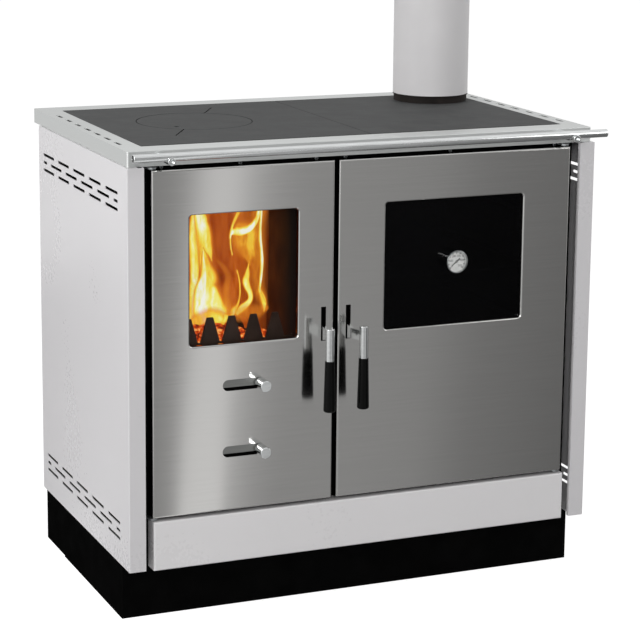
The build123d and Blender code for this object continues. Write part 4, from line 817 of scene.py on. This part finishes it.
def embers():
    """The ember bed: heaped towards the guard, so that it glows between the guard's teeth, and burnt down on
    the right."""
    x0, x1 = grate_low.x + 8 * MM, grate_high.x - 8 * MM
    y0, y1 = guard_back + 9 * MM, grate_high.y - 60 * MM
    heap_height, bed_height, swell_height = 44, 6, 7
    columns, rows = 16, 20
    shape = bmesh.new()
    grid = []
    for j in range(rows + 1):
        v = j / rows
        y = y0 + (y1 - y0) * v
        heap = heap_height * (1 - v) ** 2 * min(1.0, v / 0.05) + bed_height
        row = []
        for i in range(columns + 1):
            u = i / columns
            x = x0 + (x1 - x0) * u
            swell = swell_height * noise.noise(Vector((u * 5, v * 6, 2.0)))
            side = 1 - 0.9 * min(1.0, max(0.0, (u - 0.55) / 0.3))
            row.append(shape.verts.new((x, y, grate_high.z + (heap * side + swell) * MM)))
        grid.append(row)
    for j in range(rows):
        for i in range(columns):
            shape.faces.new((grid[j][i], grid[j][i + 1], grid[j + 1][i + 1], grid[j + 1][i]))
    mesh = bpy.data.meshes.new("ember_ground")
    shape.to_mesh(mesh)
    shape.free()
    sizes = {"Finish": embers_finish(), "Spacing": 0.0085}
    return grow("ember_bed", ember_tree(), mesh, sizes, "root", "flame")


def tick_tree():
    """Marks round an arc: bars set out from a centre, each turned by the same step."""
    tree, given, out = node_tree("dial_marks", ("Count", "Int", 26), ("Start", "Float", 0.0),
                                 ("Step", "Float", 0.1), ("Radius", "Float", 0.017),
                                 ("Length", "Float", 0.002),
                                 ("Width", "Float", 0.0006), ("Finish", "Material", None))
    thickness = 0.1 * MM
    bar_size = add(tree, "ShaderNodeCombineXYZ", {"X": given["Length"], "Y": thickness, "Z": given["Width"]})
    bar = add(tree, "GeometryNodeMeshCube", {"Size": bar_size.outputs["Vector"]})
    reach = add(tree, "ShaderNodeCombineXYZ", {"X": given["Radius"]})
    set_out = add(tree, "GeometryNodeTransform", {"Geometry": bar.outputs["Mesh"],
                                                  "Translation": reach.outputs["Vector"]})
    row = add(tree, "GeometryNodeMeshLine", {"Count": given["Count"], "Offset": (0, 0, 0)})
    index = add(tree, "GeometryNodeInputIndex").outputs["Index"]
    turn = add(tree, "ShaderNodeMath", {0: index, 1: given["Step"], 2: given["Start"]},
               operation="MULTIPLY_ADD")
    round_y = add(tree, "ShaderNodeCombineXYZ", {"Y": turn.outputs["Value"]})
    marks = add(tree, "GeometryNodeInstanceOnPoints", {
        "Points": row.outputs["Mesh"], "Instance": set_out.outputs["Geometry"],
        "Rotation": round_y.outputs["Vector"]})
    real = add(tree, "GeometryNodeRealizeInstances", {"Geometry": marks.outputs["Instances"]})
    set_finish = add(tree, "GeometryNodeSetMaterial", {"Geometry": real.outputs["Geometry"],
                                                       "Material": given["Finish"]})
    tree.links.new(set_finish.outputs["Geometry"], out.inputs["Geometry"])
    return tree


def place_mesh(target, offset):
    """Moves a piece by moving its mesh, and leaves the object at the origin."""
    target.data.transform(Matrix.Translation(offset))
    target.data.update()


DIAL_DEPTH = 4.94  # the dial's face behind the case's front
DIAL_SWEEP = math.radians(270)
DIAL_LAST = math.radians(135)  # where the ticks start, at the scale's end
DIAL_ZERO = math.radians(225)
NUMBER_HEIGHT = 5.6
NUMBER_RADIUS = 11.2


def dial_number(text):
    """One printed number of the dial, flat and about its own middle."""
    words = bpy.data.curves.new(f"dial_number_{text}", "FONT")
    words.body = text
    words.size = NUMBER_HEIGHT * MM
    words.align_x = "CENTER"
    words.align_y = "CENTER"
    words.resolution_u = 2
    holder = bpy.data.objects.new(words.name, words)
    bpy.context.scene.collection.objects.link(holder)
    graph = bpy.context.evaluated_depsgraph_get()
    letters = bpy.data.meshes.new_from_object(holder.evaluated_get(graph))
    bpy.data.objects.remove(holder)
    return letters


def thermometer_marks(print_and_recess_shade):
    """Ticks and plain numbers on the oven thermometer's dial, 0 to 500 over 270 degrees."""
    low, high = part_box("thermometer_case")
    centre = Vector(((low.x + high.x) / 2, low.y + DIAL_DEPTH * MM, (low.z + high.z) / 2))
    tree = tick_tree()
    for name, count, radius, length, width in (
        ("dial_ticks_long", 11, 16.4, 3.8, 1.3),
        ("dial_ticks_short", 51, 17.2, 2.2, 0.7),
    ):
        marks = grow(name, tree, bpy.data.meshes.new(name), {
            "Count": count, "Start": DIAL_LAST, "Step": DIAL_SWEEP / (count - 1), "Radius": radius * MM,
            "Length": length * MM, "Width": width * MM, "Finish": print_and_recess_shade}, "oven_door", "black_paint")
        place_mesh(marks, centre)
    shape = bmesh.new()
    for i in range(6):
        letters = dial_number(str(i * 100))
        angle = DIAL_ZERO - DIAL_SWEEP * i / 5
        spot = centre + Vector((math.cos(angle), 0, math.sin(angle))) * NUMBER_RADIUS * MM
        letters.transform(Matrix.Translation(spot) @ Matrix.Rotation(math.pi / 2, 4, "X"))
        shape.from_mesh(letters)
        bpy.data.meshes.remove(letters)
    mesh = bpy.data.meshes.new("dial_numbers")
    shape.to_mesh(mesh)
    shape.free()
    piece("dial_numbers", mesh, "oven_door", "black_paint", print_and_recess_shade)


def screw_tree():
    """Pan heads with a cross recess, one on every point, all facing along one direction. The cross is thin bars
    in the black recess finish: painted shade.
    """
    tree, given, out = node_tree("pan_head_screws", ("Radius", "Float", 0.004), ("Height", "Float", 0.0016),
                                 ("Turn", "Vector", (0, 0, 0)), ("Finish", "Material", None),
                                 ("Recess shade", "Material", None))
    top_share, arm_share, slim_share = 0.62, 0.95, 0.2
    recess_height = 0.2 * MM
    half = add(tree, "ShaderNodeMath", {0: given["Height"], 1: 0.5}, operation="MULTIPLY").outputs["Value"]
    neck = add(tree, "GeometryNodeMeshCylinder", {"Vertices": 24, "Radius": given["Radius"], "Depth": half})
    top_radius = add(tree, "ShaderNodeMath", {0: given["Radius"], 1: top_share},
                     operation="MULTIPLY").outputs["Value"]
    dome = add(tree, "GeometryNodeMeshCone", {"Vertices": 24, "Radius Bottom": given["Radius"],
                                              "Radius Top": top_radius, "Depth": half})
    quarter = add(tree, "ShaderNodeMath", {0: given["Height"], 1: 0.25},
                  operation="MULTIPLY").outputs["Value"]
    up = add(tree, "ShaderNodeCombineXYZ", {"Z": quarter})
    raised = add(tree, "GeometryNodeTransform", {"Geometry": dome.outputs["Mesh"],
                                                 "Translation": up.outputs["Vector"]})
    lifted = add(tree, "GeometryNodeTransform", {"Geometry": neck.outputs["Mesh"],
                                                 "Translation": up.outputs["Vector"]})
    arm = add(tree, "ShaderNodeMath", {0: given["Radius"], 1: arm_share},
              operation="MULTIPLY").outputs["Value"]
    slim = add(tree, "ShaderNodeMath", {0: given["Radius"], 1: slim_share},
               operation="MULTIPLY").outputs["Value"]
    cross = add(tree, "GeometryNodeJoinGeometry")
    for sides in ({"X": arm, "Y": slim, "Z": recess_height}, {"X": slim, "Y": arm, "Z": recess_height}):
        size = add(tree, "ShaderNodeCombineXYZ", sides)
        bar = add(tree, "GeometryNodeMeshCube", {"Size": size.outputs["Vector"]})
        tree.links.new(bar.outputs["Mesh"], cross.inputs["Geometry"])
    level = add(tree, "ShaderNodeCombineXYZ", {"Z": half})
    on_top = add(tree, "GeometryNodeTransform", {"Geometry": cross.outputs["Geometry"],
                                                 "Translation": level.outputs["Vector"]})
    marked = add(tree, "GeometryNodeStoreNamedAttribute", {
        "Geometry": on_top.outputs["Geometry"], "Name": "recess",
        "Value": True}, data_type="BOOLEAN", domain="FACE")
    screw = add(tree, "GeometryNodeJoinGeometry")
    for part in (marked, lifted, raised):
        tree.links.new(part.outputs["Geometry"], screw.inputs["Geometry"])
    points = add(tree, "GeometryNodeMeshToPoints", {"Mesh": given["Geometry"]})
    rows = add(tree, "GeometryNodeInstanceOnPoints", {
        "Points": points.outputs["Points"], "Instance": screw.outputs["Geometry"], "Rotation": given["Turn"]})
    real = add(tree, "GeometryNodeRealizeInstances", {"Geometry": rows.outputs["Instances"]})
    in_recess = add(tree, "GeometryNodeInputNamedAttribute", {"Name": "recess"}, data_type="BOOLEAN")
    steel = add(tree, "GeometryNodeSetMaterial", {"Geometry": real.outputs["Geometry"],
                                                  "Material": given["Finish"]})
    # painted shade: the cross bars take the black recess finish
    dark = add(tree, "GeometryNodeSetMaterial", {
        "Geometry": steel.outputs["Geometry"], "Selection": in_recess.outputs["Attribute"],
        "Material": given["Recess shade"]})
    tree.links.new(dark.outputs["Geometry"], out.inputs["Geometry"])
    return tree


def dots(name, spots):
    """A mesh of loose points."""
    mesh = bpy.data.meshes.new(name)
    mesh.from_pydata([tuple(s) for s in spots], [], [])
    return mesh


def back_screws(steel, print_and_recess_shade):
    """Screws that hold the back panel to the side panels' rear flanges, and the flanges' own row."""
    panel_low, panel_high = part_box("back_panel")
    flange_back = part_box("side_panel_left")[1].y
    flange_x = 441 * MM
    end_inset = 30 * MM
    edge_inset = 16 * MM
    row_start, row_step = -300 * MM, 150 * MM
    spots = []
    for side in (-1, 1):
        for i in range(6):
            z = panel_low.z + end_inset + (panel_high.z - panel_low.z - 2 * end_inset) * i / 5
            spots.append((side * flange_x, flange_back, z))
    for i in range(5):
        for z in (panel_low.z + edge_inset, panel_high.z - edge_inset):
            spots.append((row_start + row_step * i, panel_high.y, z))
    # painted shade: the screws' cross recesses take the black finish
    grow("back_screws", screw_tree(), dots("screw_points", spots), {
        "Finish": steel, "Recess shade": print_and_recess_shade, "Turn": (-math.pi / 2, 0, 0)}, "root", "zinc")


FACE_SCREWS_X = (-383.0, -238.0, -94.0, -38.0, 169.0, 383.0)
CROSS_TURN = 0.6
CROSS_LENGTH, CROSS_DEPTH, CROSS_WIDTH = 4.2, 0.2, 0.8
CROSS_SINK = 0.02


def face_screw_crosses(print_and_recess_shade):
    """Cross recesses in the screws above the doors, drawn as thin black bars: painted shade."""
    low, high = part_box("face_screws")
    size = Matrix.Diagonal((CROSS_LENGTH * MM, CROSS_DEPTH * MM, CROSS_WIDTH * MM, 1))
    shape = bmesh.new()
    for x in FACE_SCREWS_X:
        place = Matrix.Translation((x * MM, low.y + CROSS_SINK * MM, (low.z + high.z) / 2))
        for turn in (CROSS_TURN, CROSS_TURN + math.pi / 2):
            bmesh.ops.create_cube(shape, size=1.0, matrix=place @ Matrix.Rotation(turn, 4, "Y") @ size)
    mesh = bpy.data.meshes.new("face_screw_crosses")
    shape.to_mesh(mesh)
    shape.free()
    piece("face_screw_crosses", mesh, "root", "black_paint", print_and_recess_shade)


# black print for the dial, and painted shade for the screws' cross recesses
print_and_recess_shade = recess_shade_and_print_finish()
flames()
fire_body()
logs()
embers()
thermometer_marks(print_and_recess_shade)
face_screw_crosses(print_and_recess_shade)
back_screws(finishes["zinc"], print_and_recess_shade)


# ------------------------------------------------------------------ floor, light and camera
CAMERA_SPOT = (-1.6016, -3.78545, 1.4343)
CAMERA_YAW, CAMERA_PITCH, CAMERA_ROLL = 0.4035, 0.1954, 0.0101
CAMERA_LENS = 124.476
CAMERA_SHIFT = -0.125
MIRRORED_CAMERA = (CAMERA_SPOT[0], 2 * door_face - CAMERA_SPOT[1], CAMERA_SPOT[2])
# how bright the studio looks in shiny surfaces, by the angle in degrees to the right of straight ahead of the
# doors: first all round, then finer where the doors reflect it to the camera, with the tall lamp they show
STUDIO_TONES = ((-180, 0.75), (-120, 1.0), (-12, 1.0), (8, 0.5), (18, 0.36), (30, 0.19), (34, 0.14),
                (42, 0.2), (55, 1.0), (100, 1.0), (180, 0.75))
DOOR_TONES = ((18.0, 0.36), (18.8, 0.34), (19.5, 0.46), (19.75, 0.64), (19.88, 1.0), (20.92, 1.0),
              (21.05, 0.66), (21.35, 0.58), (21.8, 0.47), (22.4, 0.41), (24.3, 0.4), (26.0, 0.37),
              (27.4, 0.27), (30.0, 0.19))
# how far the tall lamp leans, and the elevation at which it stands where its tones say
LAMP_LEAN = 0.075
LAMP_ELEVATION = math.radians(-12.5)
FLOOR_REACH = 60.0
FLOOR_DROP = 0.5 * MM
FLOOR_SHOWN = 0.86
WORLD_LIGHT = 0.26


def tone_curve(tree, angle, tones):
    """A curve through (degrees, tone) points, read at an angle in radians."""
    first, last = tones[0][0], tones[-1][0]
    turn = between(tree, angle, (math.radians(first), 0.0), (math.radians(last), 1.0))
    curve = add(tree, "ShaderNodeFloatCurve", {"Value": turn})
    points = curve.mapping.curves[0].points
    while len(points) < len(tones):
        points.new(0.5, 0.5)
    for point, (degrees, tone) in zip(points, tones):
        point.location = ((degrees - first) / (last - first), tone)
        point.handle_type = "VECTOR"
    curve.mapping.update()
    return curve.outputs["Value"]


def studio_tone(tree, direction):
    """The studio's brightness in shiny surfaces, along a direction: a lit left side, a tall lamp and a dark
    right. The lamp leans, so lower down it lies further to the left."""
    sides = add(tree, "ShaderNodeSeparateXYZ", {"Vector": direction}).outputs
    ahead = add(tree, "ShaderNodeMath", {0: sides["Y"], 1: -1.0}, operation="MULTIPLY").outputs["Value"]
    angle = add(tree, "ShaderNodeMath", {0: sides["X"], 1: ahead}, operation="ARCTAN2").outputs["Value"]
    level = add(tree, "ShaderNodeVectorMath", {0: direction, 1: (1, 1, 0)},
                operation="MULTIPLY").outputs["Vector"]
    reach = add(tree, "ShaderNodeVectorMath", {0: level}, operation="LENGTH").outputs["Value"]
    rise = add(tree, "ShaderNodeMath", {0: sides["Z"], 1: reach}, operation="ARCTAN2").outputs["Value"]
    lean = add(tree, "ShaderNodeMath", {0: rise, 1: -LAMP_LEAN, 2: LAMP_LEAN * LAMP_ELEVATION},
               operation="MULTIPLY_ADD")
    leaning = add(tree, "ShaderNodeMath", {0: angle, 1: lean.outputs["Value"]},
                  operation="ADD").outputs["Value"]
    first, last = math.radians(DOOR_TONES[0][0]), math.radians(DOOR_TONES[-1][0])
    near = add(tree, "ShaderNodeMath", {0: leaning, 1: (first + last) / 2, 2: (last - first) / 2},
               operation="COMPARE")
    all_round = tone_curve(tree, angle, STUDIO_TONES)
    doors = tone_curve(tree, leaning, DOOR_TONES)
    tone = add(tree, "ShaderNodeMix", {"Factor": near.outputs["Value"], "A": all_round, "B": doors})
    return tone.outputs["Result"]


def studio_floor():
    """A wide pale floor. It shows white to the camera and the studio's tones to shiny surfaces, and keeps the
    stove's shadow."""
    mesh = bpy.data.meshes.new("floor")
    corners = [(x * FLOOR_REACH, y * FLOOR_REACH, 0) for x, y in ((-1, -1), (1, -1), (1, 1), (-1, 1))]
    mesh.from_pydata(corners, [], [(0, 1, 2, 3)])
    floor = bpy.data.objects.new("floor", mesh)
    floor.location.z = -FLOOR_DROP
    bpy.context.scene.collection.objects.link(floor)
    made, tree, shader, place = material("pale_studio_floor", {
        "Roughness": 0.9, "Specular IOR Level": 0.0, "Emission Color": (1, 1, 1, 1)})
    paper = grains(tree, place, 300.0, 2.0)
    pale = between(tree, paper, (0.3, "#CCCCCC"), (0.7, "#CFCFCF"))
    from_mirrored_camera = add(tree, "ShaderNodeVectorMath", {0: place, 1: MIRRORED_CAMERA},
                               operation="SUBTRACT")
    seen = add(tree, "ShaderNodeLightPath").outputs
    shiny = studio_tone(tree, from_mirrored_camera.outputs["Vector"])
    paper_colour = add(tree, "ShaderNodeMix", {0: seen["Is Glossy Ray"], 6: pale, 7: (0, 0, 0, 1)},
                       data_type="RGBA")
    plain = add(tree, "ShaderNodeMath", {0: seen["Is Camera Ray"], 1: seen["Is Transmission Ray"]},
                operation="MAXIMUM")
    shown = add(tree, "ShaderNodeMath", {0: plain.outputs["Value"], 1: FLOOR_SHOWN},
                operation="MULTIPLY").outputs["Value"]
    lift = add(tree, "ShaderNodeMath", {0: seen["Is Glossy Ray"], 1: shiny, 2: shown},
               operation="MULTIPLY_ADD")
    dress(tree, shader, {"Base Color": paper_colour.outputs[2], "Emission Strength": lift.outputs["Value"]})
    mesh.materials.append(made)


def studio_world():
    """White surroundings to the camera, the studio's tones to shiny surfaces, and a plain grey light on
    everything."""
    world = bpy.data.worlds.new("studio")
    bpy.context.scene.world = world
    world.use_nodes = True
    tree = world.node_tree
    tree.nodes.clear()
    seen = add(tree, "ShaderNodeLightPath").outputs
    direction = add(tree, "ShaderNodeTexCoord").outputs["Generated"]
    plain = add(tree, "ShaderNodeMath", {0: seen["Is Camera Ray"], 1: seen["Is Transmission Ray"]},
                operation="MAXIMUM")
    seen_plain = between(tree, plain.outputs["Value"], (0.0, WORLD_LIGHT), (1.0, 1.0))
    height = add(tree, "ShaderNodeSeparateXYZ", {"Vector": direction}).outputs["Z"]
    ceiling = between(tree, height, (0.3, 0.0), (0.6, 0.8))
    shiny = add(tree, "ShaderNodeMath", {0: studio_tone(tree, direction), 1: ceiling}, operation="MAXIMUM")
    strength = add(tree, "ShaderNodeMix", {"Factor": seen["Is Glossy Ray"], "A": seen_plain,
                                           "B": shiny.outputs["Value"]})
    light = add(tree, "ShaderNodeBackground", {"Color": (1, 1, 1, 1), "Strength": strength.outputs["Result"]})
    out = add(tree, "ShaderNodeOutputWorld")
    tree.links.new(light.outputs["Background"], out.inputs["Surface"])


def softbox(name, spot, target, width, height, power):
    """A soft area light at a spot, aimed at a target."""
    lamp = bpy.data.lights.new(name, "AREA")
    lamp.shape = "RECTANGLE"
    lamp.size = width
    lamp.size_y = height
    lamp.energy = power
    holder = bpy.data.objects.new(name, lamp)
    bpy.context.scene.collection.objects.link(holder)
    holder.location = spot
    holder.rotation_euler = (Vector(target) - Vector(spot)).to_track_quat("-Z", "Y").to_euler()
    return holder


def studio_camera():
    """The camera where the photograph was taken from: ahead and to the left, a little above the stove. The
    photograph is cut through the flue pipe, so the middle of its lens lies above the picture's middle."""
    yaw, pitch, roll = CAMERA_YAW, CAMERA_PITCH, CAMERA_ROLL
    forward = Vector((math.sin(yaw) * math.cos(pitch), math.cos(yaw) * math.cos(pitch), -math.sin(pitch)))
    level = Vector((math.cos(yaw), -math.sin(yaw), 0))
    upward = level.cross(forward)
    right = level * math.cos(roll) + upward * math.sin(roll)
    above = upward * math.cos(roll) - level * math.sin(roll)
    lens = bpy.data.cameras.new("photo_camera")
    lens.sensor_width = 36
    lens.lens = CAMERA_LENS
    lens.shift_y = CAMERA_SHIFT
    lens.clip_end = 200
    holder = bpy.data.objects.new("photo_camera", lens)
    bpy.context.scene.collection.objects.link(holder)
    turned = Matrix((right, above, -forward)).transposed().to_4x4()
    holder.matrix_world = Matrix.Translation(CAMERA_SPOT) @ turned
    bpy.context.scene.camera = holder


studio_floor()
studio_world()
softbox("window_light_left", (-3.3, -0.7, 2.1), (-0.3, 0.0, 0.5), 2.0, 2.0, 60)
softbox("right_fill", (2.3, -2.3, 1.9), (0.3, 0.0, 0.75), 1.4, 1.4, 18)
softbox("front_fill", (-1.6, -3.9, 1.8), (0.1, -0.26, 0.4), 0.5, 0.8, 32)
studio_camera()
bpy.context.scene.view_settings.view_transform = "Standard"
